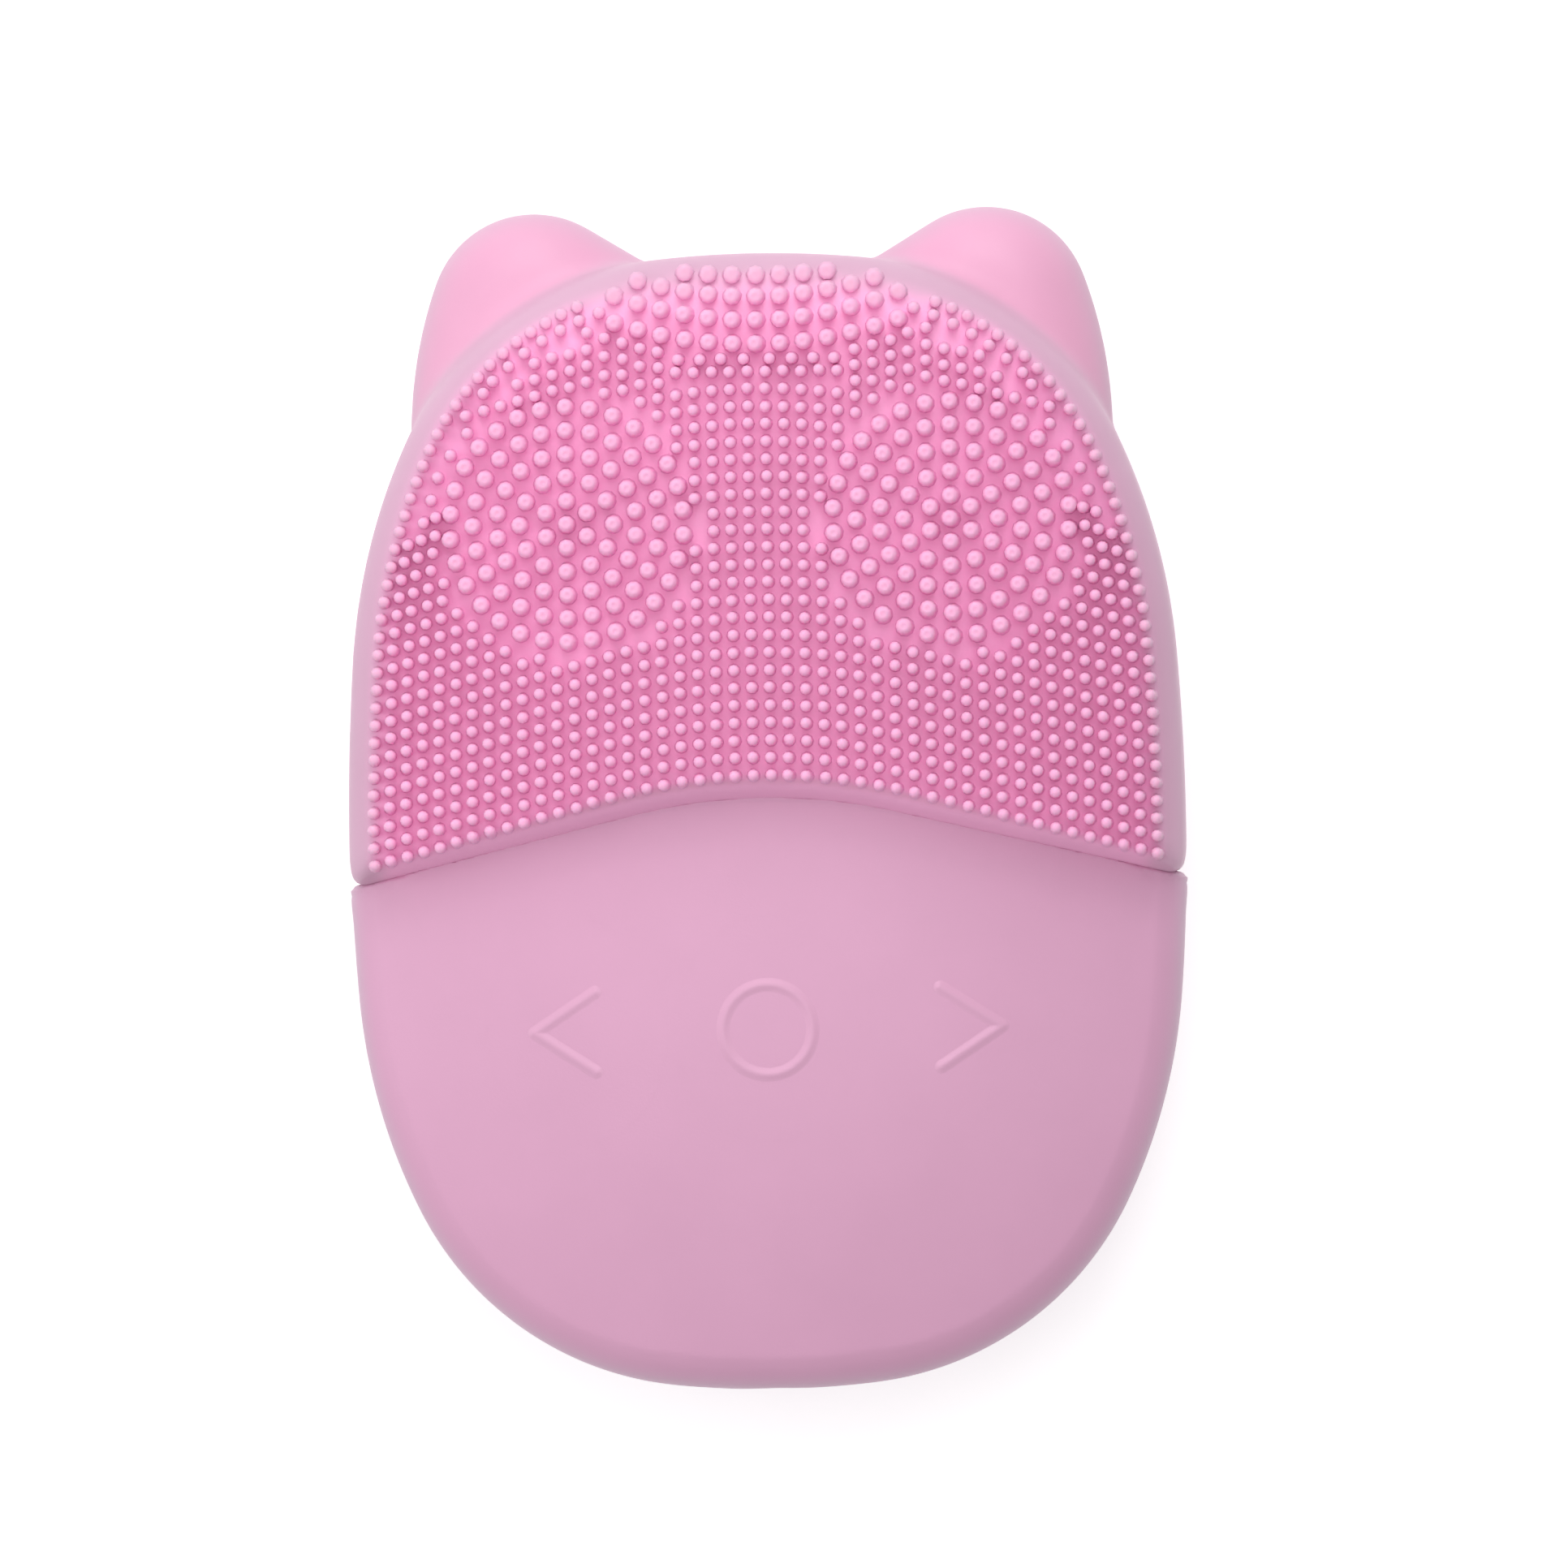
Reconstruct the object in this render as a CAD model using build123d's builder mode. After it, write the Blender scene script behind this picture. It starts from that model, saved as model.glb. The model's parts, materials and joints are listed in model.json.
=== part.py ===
"""Facial cleansing brush: a silicone egg with two rounded ears, lying on its back.

X runs across the brush, Y towards the ears and Z out of the bristles. The origin is on
the surface it lies on, under the middle of its length and width. Sizes are millimetres.
"""

import os
from math import asin, cos, hypot, pi, radians, sin, sqrt, tan

from build123d import *

os.makedirs("parts", exist_ok=True)

# ---------------------------------------------------------------- plan of the body
body_width = 65.2  # across the widest line
widest_y = -2.85  # the widest line
head_reach = 45.4  # from the widest line to the top of the head
tail_reach = 43.15  # from the widest line to the charging end
# Each quarter of the plan is four tangent arcs: side, shoulder, corner and end.
head_turns = (4.2, 21.0, 59.1, 5.7)
tail_turns = (4.6, 21.2, 58.0, 6.2)
head_side_radius = 192.0
head_end_radius = 80.8
tail_side_radius = 155.0
tail_end_radius = 72.5

# ---------------------------------------------------------------- ears
ear_centre_x = 17.65
ear_centre_y = 37.9
ear_radius = 8.1
ear_outer_radius = 35.0  # the nearly straight outer side
ear_outer_turn = 20.0  # where the outer side starts, above the X axis
ear_inner_turn = 121.5  # where the straight inner side starts
ear_inner_length = 9.0
ear_root_depth = 14.0  # how far the ear runs into the head below its centre
ear_back_z = 4.5
ear_front_z = 17.5
ear_edge_radius = 5.8

# ---------------------------------------------------------------- front and back
panel_crown_z = 23.0  # front of the smooth handle panel on the middle line
slab_step = 2.5  # the bristle slab stands this far above the panel
barrel_radius = 75.0  # the front's curve across the brush
crown_low_y = -10.0  # the front is level between these two lines
crown_high_y = 20.0
tail_fall_radius = 110.0  # and falls away beyond them
head_fall_radius = 60.0
back_edge_radius = 10.5
panel_edge_radius = 4.0
slab_edge_radius = 3.0

# ---------------------------------------------------------------- step line and groove
step_apex_y = -0.1
step_arch_radius = 44.0
step_flank_angle = 13.5
slab_lip_radius = 1.0  # rounding of the head's edge along the groove
sleeve_lip_radius = 0.7  # rounding of the handle's edge along it
groove_width = 1.1
groove_depth = 0.5

# ---------------------------------------------------------------- walls
skin = 2.0  # silicone
shell_wall = 1.6  # hard inner shells
fit_gap = 0.1  # between the silicone and the shell
split_z = 12.0  # where the two shells meet
seal_width = 0.8
seal_depth = 0.6

# ---------------------------------------------------------------- bristles
bristle_length = 2.5
pad_depth = 1.2  # the slice of silicone that the bristles grow from
pad_margin = 0.9
pad_step_margin = 0.4  # from the slab's lower edge to the slice
column_pitch = 1.39
row_pitch = 1.36
field_coarsening = 2  # every second column and row stands for the fine field
thin_width = 0.75
thick_width = 1.05
row_apex_y = 1.9  # lowest row of bristles
row_arch_radius = 46.0
row_flank_angle = 15.1
field_edge = 0.55  # left between the slice's edge and the field's strands
eye_x = 14.92
eye_y = 21.75
eye_ring_pitch = 1.83
eye_rings = 5
eye_clearance = 1.2
forehead_low_y = 35.8
forehead_rise = 0.0152  # a row rises by this times the square of its place across
forehead_column_pitch = 1.84
forehead_columns = 6
forehead_row_pitch = 1.74
forehead_rows = 4
forehead_edge = 0.1  # left between the slice's edge and the forehead's strands
forehead_clearance = 1.3

# ---------------------------------------------------------------- keys
key_row_y = -17.9
side_key_x = 14.9
key_pad_radius = 4.2
key_pad_gap = 0.3
key_cap_radius = 3.3
key_cap_gap = 0.3
key_flange_radius = 4.3
key_flange = 1.0
key_travel = 0.35
key_clearance = 0.1  # left under a key that is fully pressed
mark_height = 0.4
mark_width = 0.7
power_mark_radius = 3.45
arrow_tip_x = 18.2
arrow_length = 4.75
arrow_rise = 3.1

# ---------------------------------------------------------------- board and switches
board_z = 10.0
board_thickness = 1.0
board_width = 38.0
board_low_y = -32.3
board_high_y = -5.0
board_corner = 3.0
switch_size = 6.0
switch_height = 2.4
stem_radius = 1.6
stem_gap = 0.15
stem_height = 3.6  # top of the stem above the board
stem_depth = 0.6
post_radius = 1.7
post_x = 16.6
post_low_y = -29.6
post_high_y = -12.0
chip_bevel = 0.12

# ---------------------------------------------------------------- battery
cell_width = 20.0
cell_length = 30.0
cell_thickness = 5.0
cell_low_y = -31.0
cell_edge_radius = 1.0
foam_thickness = 0.4
foam_inset = 1.0
lead_radius = 0.5
lead_bend = 2.0
lead_spacing = 2.0
connector_width = 5.0
connector_length = 3.6
connector_height = 2.8
connector_edge = 1.4  # from the board's edge
connector_rounding = 0.3
cell_lead_x = 7.0
cell_lead_reach = 3.4
motor_lead_x = -16.3

# ---------------------------------------------------------------- motor
motor_y = 14.0
motor_z = 11.0
can_radius = 5.0
can_wall = 0.4
can_low_x = -10.0
can_high_x = 6.0
end_cap_thickness = 2.0
shaft_radius = 0.75
running_gap = 0.03
bush_radius = 1.6
bush_length = 1.6
magnet_thickness = 0.8
magnet_arc = 130.0
magnet_length = 11.0
rotor_radius = 3.3
rotor_length = 9.0
rotor_slot = 0.9
rotor_slot_depth = 1.5
rotor_low_x = -6.6
commutator_radius = 1.5
commutator_length = 1.8
weight_radius = 4.8
brush_width = 1.0
brush_thickness = 0.6
weight_gap = 0.6  # between the front bush and the weight
weight_length = 6.0
weight_hub_radius = 1.8
shaft_end = 0.6
sleeve_wall = 1.0
sleeve_length = 9.0
clamp_wall = 1.2
clamp_width = 6.0
clamp_tab = 4.4
clamp_x = -2.0
clamp_screw_radius = 0.8
clamp_screw_length = 6.0
clamp_screw_head = 1.4
clamp_screw_head_height = 0.9
terminal_offset = 1.5
terminal_size = 1.4
terminal_length = 0.6

# ---------------------------------------------------------------- shell screws
screw_radius = 1.0
screw_hole_gap = 0.15
pilot_gap = 0.03
least_edge = 0.3  # the smallest rounding of an inset body
screw_head_radius = 1.8
screw_head_height = 1.2
screw_length = 9.0
screw_ledge_z = 6.0
boss_radius = 3.0
head_screw_x = 21.5
head_screw_y = 22.0
tail_screw_x = 13.0
tail_screw_y = -36.0

# ---------------------------------------------------------------- charging inlet
port_z = 11.2
port_bore_radius = 1.27
port_bore_length = 8.8
port_nose_radius = 2.0
port_recess = 0.4
port_hole_gap = 0.05
port_body_width = 6.0
port_body_height = 4.0
port_body_gap = 0.3
port_body_edge = 1.0
gasket_wall = 0.6

half_width = body_width / 2
slab_crown_z = panel_crown_z + slab_step
shell_inset = skin + fit_gap
cavity_inset = shell_inset + shell_wall
tail_y = widest_y - tail_reach
head_y = widest_y + head_reach
board_top = board_z + board_thickness
far = 120.0  # longer than the brush, for cutting tools

HEAD = (1, head_reach, head_side_radius, head_end_radius, head_turns)
TAIL = (-1, tail_reach, tail_side_radius, tail_end_radius, tail_turns)


# ================================================================ shared shapes
def quarter_arcs(quarter, inset):
    """The four tangent arcs of a quarter: (centre, radius, first turn, last turn) each.

    The side and end radii are given, and the two between them close the quarter.
    """
    side, reach, side_radius, end_radius, turns = quarter
    bends = [radians(sum(turns[:i]) * 90.0 / sum(turns)) for i in range(len(turns) + 1)]
    across = [cos(a) - cos(b) for a, b in zip(bends, bends[1:])]
    along = [sin(b) - sin(a) for a, b in zip(bends, bends[1:])]
    first, last = side_radius - inset, end_radius - inset
    rest_x = half_width - inset - first * across[0] - last * across[3]
    rest_y = reach - inset - first * along[0] - last * along[3]
    share = across[1] * along[2] - across[2] * along[1]
    shoulder = (rest_x * along[2] - rest_y * across[2]) / share
    corner = (rest_y * across[1] - rest_x * along[1]) / share
    arcs = []
    x, y = half_width - inset, 0.0
    for radius, a, b in zip((first, shoulder, corner, last), bends, bends[1:]):
        centre = (x - radius * cos(a), y - radius * sin(a))
        arcs.append((centre, radius, a, b))
        x, y = centre[0] + radius * cos(b), centre[1] + radius * sin(b)
    return arcs


def plan_width(y, inset):
    """Half the width of the plan at y, inset inside the outline, or 0 outside it."""
    quarter = HEAD if y > widest_y else TAIL
    height = abs(y - widest_y)
    for centre, radius, a, b in quarter_arcs(quarter, inset):
        if centre[1] + radius * sin(a) <= height <= centre[1] + radius * sin(b):
            return centre[0] + sqrt(radius**2 - (height - centre[1]) ** 2)
    return 0.0


def plan_face(inset):
    """The egg-shaped plan of the body, inset inside its outline."""
    with BuildSketch() as plan:
        with BuildLine():
            for quarter in (HEAD, TAIL):
                for centre, radius, a, b in quarter_arcs(quarter, inset):
                    points = []
                    for turn in (a, (a + b) / 2, b):
                        up = centre[1] + radius * sin(turn)
                        points.append((centre[0] + radius * cos(turn), widest_y + quarter[0] * up))
                    ThreePointArc(*points)
            mirror(about=Plane.YZ)
        make_face()
    return plan.sketch


def crown_line(y, inset, crown_z):
    """Height of the front on the middle line."""
    if y < crown_low_y:
        radius, reach = tail_fall_radius, crown_low_y - y
    elif y > crown_high_y:
        radius, reach = head_fall_radius, y - crown_high_y
    else:
        return crown_z - inset
    return crown_z - radius + sqrt((radius - inset) ** 2 - reach**2)


def crown_height(x, y, inset, crown_z):
    """Height of the domed front at a point."""
    axis_z = crown_z - barrel_radius
    return axis_z + sqrt((crown_line(y, inset, crown_z) - axis_z) ** 2 - x**2)


def barrel(inset, crown_z):
    """The turned solid whose top is the domed front; its seam is underneath."""
    axis_z = crown_z - barrel_radius
    low_y, high_y = tail_y - skin * 2, head_y + skin * 2

    def at(y):
        return (y, 2 * axis_z - crown_line(y, inset, crown_z))

    with BuildPart() as solid:
        with BuildSketch(Plane.YZ):
            with BuildLine():
                ThreePointArc(at(low_y), at((low_y + crown_low_y) / 2), at(crown_low_y))
                Line(at(crown_low_y), at(crown_high_y))
                ThreePointArc(at(crown_high_y), at((crown_high_y + high_y) / 2), at(high_y))
                Polyline(at(high_y), (high_y, axis_z), (low_y, axis_z), at(low_y))
            make_face()
        revolve(axis=Axis((0, 0, axis_z), (0, 1, 0)))
    return solid.part


def pebble(inset, crown_z, edge_radius):
    """The whole rounded body, inset inside its outer surface."""
    front = barrel(inset, crown_z)
    plan = plan_face(inset)
    with BuildPart() as body:
        with BuildSketch(Plane.XY.offset(inset)):
            add(plan)
        extrude(amount=crown_z)
        add(front, mode=Mode.INTERSECT)
        rim = body.edges().filter_by(GeomType.BSPLINE)
        fillet(rim, max(edge_radius - inset, least_edge))
        fillet(body.faces().sort_by(Axis.Z)[0].edges(), back_edge_radius - inset)
    return body.part


def head_zone(y_shift):
    """A tall solid on the head's side of the step line, moved along Y."""
    turn = radians(step_flank_angle)
    apex = (0, step_apex_y + y_shift)
    start = (step_arch_radius * sin(turn), apex[1] - step_arch_radius * (1 - cos(turn)))
    end = (body_width, start[1] - tan(turn) * (body_width - start[0]))
    with BuildPart() as zone:
        with BuildSketch(Plane.XY.offset(-skin)):
            with BuildLine():
                ThreePointArc((-start[0], start[1]), apex, start)
                Polyline(start, end, (end[0], far), (-end[0], far), (-end[0], end[1]), (-start[0], start[1]))
            make_face()
        extrude(amount=far)
    return zone.part


def x_disc(radius, low_x, length):
    """A round bar along X on the motor's axis."""
    return Solid.make_cylinder(radius, length, Plane(origin=(low_x, motor_y, motor_z), z_dir=(1, 0, 0)))


panel_body = pebble(0, panel_crown_z, panel_edge_radius)
slab_body = pebble(0, slab_crown_z, slab_edge_radius)
groove_body = pebble(groove_depth, panel_crown_z, panel_edge_radius)
shell_body = pebble(shell_inset, panel_crown_z, panel_edge_radius)
cavity_body = pebble(cavity_inset, panel_crown_z, panel_edge_radius)
above_step = head_zone(groove_width / 2)
above_groove = head_zone(-groove_width / 2)
key_places = {"slower": -side_key_x, "power": 0.0, "faster": side_key_x}
key_centres = [(key_x, key_row_y) for key_x in key_places.values()]
screw_sides = ((head_screw_x, head_screw_y), (tail_screw_x, tail_screw_y))
screw_places = [(side * x, y) for x, y in screw_sides for side in (-1, 1)]
post_places = [(side * post_x, y) for y in (post_low_y, post_high_y) for side in (-1, 1)]
sleeve_radius = can_radius + sleeve_wall
clamp_radius = sleeve_radius + clamp_wall
clamp_screw_y = clamp_radius + clamp_tab / 2
port_mouth_y = tail_y + port_recess


def y_disc(radius, low_y, length):
    """A round bar along Y, for the charging inlet."""
    return Solid.make_cylinder(radius, length, Plane(origin=(0, low_y, port_z), z_dir=(0, 1, 0)))


def half_space(low_z, high_z):
    """A slab of space that holds the whole brush between two heights."""
    return Solid.make_box(far, far, high_z - low_z, Plane(origin=(-far / 2, -far / 2, low_z)))


below_split = half_space(-far, split_z)
above_split = half_space(split_z, far)
inlet_hole = y_disc(port_nose_radius + port_hole_gap, tail_y - skin, skin + cavity_inset)
gasket_hole = y_disc(port_nose_radius + gasket_wall, tail_y, cavity_inset + port_body_gap)

# ================================================================ silicone outside
def turned(centre, radius, turn):
    """The point of a circle at a turn from the X axis."""
    return (centre[0] + radius * cos(turn), centre[1] + radius * sin(turn))


def arc(centre, radius, first, last):
    """An arc of a circle between two turns, for the line being drawn."""
    ends = [turned(centre, radius, turn) for turn in (first, (first + last) / 2, last)]
    return ThreePointArc(*ends)


ear_centre = (ear_centre_x, ear_centre_y)
outer_turn, inner_turn = radians(ear_outer_turn), radians(ear_inner_turn)
outer_centre = turned(ear_centre, ear_radius - ear_outer_radius, outer_turn)
root_y = ear_centre_y - ear_root_depth
low_turn = asin((root_y - outer_centre[1]) / ear_outer_radius)
inner_high = turned(ear_centre, ear_radius, inner_turn)
inner_low = turned(inner_high, ear_inner_length, inner_turn + pi / 2)
with BuildPart() as ears:
    with BuildSketch(Plane.XY.offset(ear_back_z)):
        with BuildLine():
            arc(outer_centre, ear_outer_radius, low_turn, outer_turn)
            arc(ear_centre, ear_radius, outer_turn, inner_turn)
            outer_low = turned(outer_centre, ear_outer_radius, low_turn)
            Polyline(inner_high, inner_low, (inner_low[0], root_y), outer_low)
        make_face()
    extrude(amount=ear_front_z - ear_back_z)
    fillet(ears.edges().filter_by(Axis.Z, reverse=True), ear_edge_radius)
    mirror(about=Plane.YZ)


def lip_edges(body, towards_head):
    """The edges round a wall cut along the step line, without the seams across the wall."""
    seam_x = step_arch_radius * sin(radians(step_flank_angle))
    least_facing = cos(radians(2 * step_flank_angle))

    def in_wall(face):
        return face.normal_at().Y * towards_head > least_facing

    def not_a_seam(edge):
        return edge.geom_type != GeomType.LINE or abs(edge.center().X) > 2 * seam_x

    return body.faces().filter_by(in_wall).edges().filter_by(not_a_seam)


with BuildPart() as head_block:
    add(slab_body)
    add(above_step, mode=Mode.INTERSECT)
    fillet(lip_edges(head_block, -1), slab_lip_radius)

slice_shift = groove_width / 2 + pad_step_margin
slice_apex_y = step_apex_y + slice_shift
pad_zone = head_zone(slice_shift)
pad_underside = barrel(pad_depth, slab_crown_z)
with BuildPart() as pad_slice:
    with BuildSketch(Plane.XY.offset(split_z)):
        add(plan_face(pad_margin))
    extrude(amount=slab_crown_z)
    add(pad_zone, mode=Mode.INTERSECT)
    add(head_block.part, mode=Mode.INTERSECT)
    add(pad_underside, mode=Mode.SUBTRACT)

with BuildPart() as head_cover:
    add(head_block.part)
    add(ears.part)
    add(shell_body, mode=Mode.SUBTRACT)
    add(pad_slice.part, mode=Mode.SUBTRACT)


def arch_height(x, apex_y, radius, angle):
    """Where an arched line crosses x."""
    flank_x = radius * sin(radians(angle))
    if abs(x) > flank_x:
        return apex_y - radius * (1 - cos(radians(angle))) - tan(radians(angle)) * (abs(x) - flank_x)
    return apex_y - radius + sqrt(radius**2 - x**2)


def row_height(x):
    """Where the lowest row of bristles crosses x, clear of the slice's lower edge."""
    slice_edge = arch_height(x, slice_apex_y, step_arch_radius, step_flank_angle)
    return max(arch_height(x, row_apex_y, row_arch_radius, row_flank_angle), slice_edge + thin_width)


def forehead_line(x):
    """The lowest row of the forehead's thick bristles."""
    return forehead_low_y + forehead_rise * x**2


def strand_margin(width, edge):
    """From the outline to the axis of a strand whose foot stays on the slice."""
    return pad_margin + width / sqrt(2) + edge


def eye_strands():
    """Thick strands in rings round each eye: (x, y, width)."""
    strands = [(eye_x, eye_y, thick_width)]
    for ring in range(1, eye_rings + 1):
        for step in range(6 * ring):
            turn = pi / 2 + 2 * pi * step / (6 * ring)
            x = eye_x + ring * eye_ring_pitch * cos(turn)
            y = eye_y + ring * eye_ring_pitch * sin(turn)
            strands.append((x, y, thick_width))
    return strands + [(-x, y, width) for x, y, width in strands]


def forehead_strands():
    """Thick strands in curved rows between the ears."""
    strands = []
    for column in range(-forehead_columns, forehead_columns + 1):
        x = column * forehead_column_pitch
        for row in range(forehead_rows):
            y = forehead_line(x) + row * forehead_row_pitch
            if abs(x) < plan_width(y, strand_margin(thick_width, forehead_edge)):
                strands.append((x, y, thick_width))
    return strands


def field_strands():
    """Thin strands in columns that start on the arched lowest row."""
    strands = []
    eye_field = eye_rings * eye_ring_pitch + eye_clearance
    spacing = column_pitch * field_coarsening
    columns = int(half_width / spacing)
    for column in range(-columns - 1, columns + 1):
        x = barrel_radius * sin((column + 0.5) * spacing / barrel_radius)
        y = row_height(x)
        while y < forehead_line(x) - forehead_clearance:
            inside = abs(x) < plan_width(y, strand_margin(thin_width, field_edge))
            if inside and hypot(abs(x) - eye_x, y - eye_y) > eye_field:
                strands.append((x, y, thin_width))
            y += row_pitch * field_coarsening
    return strands


strand_solids = []
for x, y, width in eye_strands() + forehead_strands() + field_strands():
    root_z = crown_height(x, y, pad_depth / 2, slab_crown_z)
    tip_z = crown_height(x, y, 0, slab_crown_z) + bristle_length
    strand_solids.append(Pos(x, y, (root_z + tip_z) / 2) * Box(width, width, tip_z - root_z))
print("bristle strands:", len(strand_solids))

with BuildPart() as bristle_pad:
    add(pad_slice.part)
    add(strand_solids)

with BuildPart() as groove_band:
    add(groove_body)
    add(above_groove, mode=Mode.INTERSECT)
    add(above_step, mode=Mode.SUBTRACT)

with BuildPart() as handle_sleeve:
    add(panel_body)
    add(above_groove, mode=Mode.SUBTRACT)
    fillet(lip_edges(handle_sleeve, 1), sleeve_lip_radius)
    add(groove_band.part)
    add(shell_body, mode=Mode.SUBTRACT)
    with BuildSketch(Plane.XY.offset(split_z)):
        with Locations(*key_centres):
            Circle(key_pad_radius + key_pad_gap)
    extrude(amount=far, mode=Mode.SUBTRACT)
    add(inlet_hole, mode=Mode.SUBTRACT)

# ================================================================ hard shells
with BuildPart() as rear_shell:
    add(shell_body)
    add(cavity_body, mode=Mode.SUBTRACT)
    with BuildSketch():
        with Locations(*screw_places):
            Circle(boss_radius)
    extrude(amount=split_z)
    with BuildSketch():
        with Locations(*post_places):
            Circle(post_radius)
    extrude(amount=board_z)
    with BuildSketch():
        with Locations((clamp_x, motor_y)):
            Rectangle(clamp_width, 2 * (clamp_radius + clamp_tab))
    extrude(amount=motor_z)
    add(x_disc(sleeve_radius, clamp_x - clamp_width / 2, clamp_width), mode=Mode.SUBTRACT)
    add(below_split, mode=Mode.INTERSECT)
    add(shell_body, mode=Mode.INTERSECT)
    with BuildSketch():
        with Locations(*screw_places):
            Circle(screw_head_radius + screw_hole_gap)
    extrude(amount=screw_ledge_z, mode=Mode.SUBTRACT)
    with BuildSketch():
        with Locations(*screw_places):
            Circle(screw_radius + screw_hole_gap)
    extrude(amount=split_z, mode=Mode.SUBTRACT)
    seal_inset = shell_inset + (shell_wall - seal_width) / 2
    with BuildSketch(Plane.XY.offset(split_z - seal_depth)):
        add(plan_face(seal_inset))
        add(plan_face(seal_inset + seal_width), mode=Mode.SUBTRACT)
    extrude(amount=seal_depth, mode=Mode.SUBTRACT)
    with BuildSketch(Plane.XY.offset(motor_z)):
        with Locations((clamp_x, motor_y - clamp_screw_y), (clamp_x, motor_y + clamp_screw_y)):
            Circle(clamp_screw_radius + pilot_gap)
    extrude(amount=-clamp_screw_length + clamp_wall, mode=Mode.SUBTRACT)
    add(gasket_hole, mode=Mode.SUBTRACT)

with BuildPart() as front_shell:
    add(shell_body)
    add(cavity_body, mode=Mode.SUBTRACT)
    with BuildSketch(Plane.XY.offset(split_z)):
        with Locations(*screw_places):
            Circle(boss_radius)
    extrude(amount=far)
    add(above_split, mode=Mode.INTERSECT)
    with BuildSketch(Plane.XY.offset(board_top)):
        with Locations(*post_places):
            Circle(post_radius)
    extrude(amount=far)
    add(shell_body, mode=Mode.INTERSECT)
    with BuildSketch(Plane.XY.offset(split_z)):
        with Locations(*screw_places):
            Circle(screw_radius + pilot_gap)
    extrude(amount=screw_length + screw_ledge_z - split_z, mode=Mode.SUBTRACT)
    with BuildSketch(Plane.XY.offset(split_z)):
        with Locations(*key_centres):
            Circle(key_cap_radius + key_cap_gap)
    extrude(amount=far, mode=Mode.SUBTRACT)
    add(gasket_hole, mode=Mode.SUBTRACT)

with BuildPart() as shell_seal:
    with BuildSketch(Plane.XY.offset(split_z - seal_depth)):
        add(plan_face(seal_inset))
        add(plan_face(seal_inset + seal_width), mode=Mode.SUBTRACT)
    extrude(amount=seal_depth)
    add(gasket_hole, mode=Mode.SUBTRACT)

with BuildPart() as shell_screws:
    with BuildSketch(Plane.XY.offset(screw_ledge_z)):
        with Locations(*screw_places):
            Circle(screw_head_radius)
    extrude(amount=-screw_head_height)
    with BuildSketch(Plane.XY.offset(screw_ledge_z)):
        with Locations(*screw_places):
            Circle(screw_radius)
    extrude(amount=screw_length)

# ================================================================ charging inlet
port_body_y = tail_y + cavity_inset + port_body_gap
port_body_length = board_low_y - port_body_y
with BuildPart() as charging_socket:
    with Locations((0, port_body_y + port_body_length / 2, port_z)):
        Box(port_body_width, port_body_length, port_body_height)
    fillet(charging_socket.edges().filter_by(Axis.Y), port_body_edge)
    add(y_disc(port_nose_radius, port_mouth_y, port_body_y - port_mouth_y))
    add(y_disc(port_bore_radius, port_mouth_y, port_bore_length), mode=Mode.SUBTRACT)

with BuildPart() as port_gasket:
    add(y_disc(port_nose_radius + gasket_wall, tail_y, cavity_inset))
    add(shell_body, mode=Mode.INTERSECT)
    add(y_disc(port_nose_radius, tail_y, cavity_inset), mode=Mode.SUBTRACT)

# ================================================================ keys and switches
def key_mark(name):
    """The raised mark of a key, as a flat face."""
    with BuildSketch() as mark:
        if name == "power":
            with Locations((0, key_row_y)):
                Circle(power_mark_radius + mark_width / 2)
                Circle(power_mark_radius - mark_width / 2, mode=Mode.SUBTRACT)
        else:
            side = 1 if name == "faster" else -1
            with BuildLine():
                tip = (side * arrow_tip_x, key_row_y)
                open_x = side * (arrow_tip_x - arrow_length)
                Polyline((open_x, key_row_y + arrow_rise), tip, (open_x, key_row_y - arrow_rise))
            trace(line_width=mark_width)
    return mark.sketch


key_pad_depth = shell_inset - key_travel - key_clearance
key_flange_z = board_top + stem_height
pad_front = barrel(0, panel_crown_z)
pad_back = barrel(key_pad_depth, panel_crown_z)
mark_front = barrel(-mark_height, panel_crown_z)
key_pads, key_caps, switch_bodies, switch_stems = {}, {}, {}, {}
for key, key_x in key_places.items():
    with BuildPart() as pad:
        with BuildSketch(Plane.XY.offset(split_z)):
            with Locations((key_x, key_row_y)):
                Circle(key_pad_radius)
        extrude(amount=panel_crown_z)
        add(pad_front, mode=Mode.INTERSECT)
    mark_face = key_mark(key)
    with BuildPart() as raised_mark:
        with BuildSketch(Plane.XY.offset(split_z)):
            add(mark_face)
        extrude(amount=panel_crown_z)
        add(mark_front, mode=Mode.INTERSECT)
    with pad:
        add(raised_mark.part)
        add(pad_back, mode=Mode.SUBTRACT)
    key_pads[key] = pad
    with BuildPart() as cap:
        with BuildSketch(Plane.XY.offset(key_flange_z)):
            with Locations((key_x, key_row_y)):
                Circle(key_cap_radius)
        extrude(amount=panel_crown_z)
        add(pad_back, mode=Mode.INTERSECT)
        with BuildSketch(Plane.XY.offset(key_flange_z)):
            with Locations((key_x, key_row_y)):
                Circle(key_flange_radius)
        extrude(amount=key_flange)
    key_caps[key] = cap
    with BuildPart() as stem:
        with BuildSketch(Plane.XY.offset(key_flange_z)):
            with Locations((key_x, key_row_y)):
                Circle(stem_radius)
        extrude(amount=-(stem_height - switch_height + stem_depth))
    switch_stems[key] = stem
    with BuildPart() as housing:
        with Locations((key_x, key_row_y, board_top + switch_height / 2)):
            Box(switch_size, switch_size, switch_height)
        with BuildSketch(Plane.XY.offset(board_top + switch_height)):
            with Locations((key_x, key_row_y)):
                Circle(stem_radius + stem_gap)
        extrude(amount=-(stem_depth + key_travel + key_clearance), mode=Mode.SUBTRACT)
    switch_bodies[key] = housing

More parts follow.
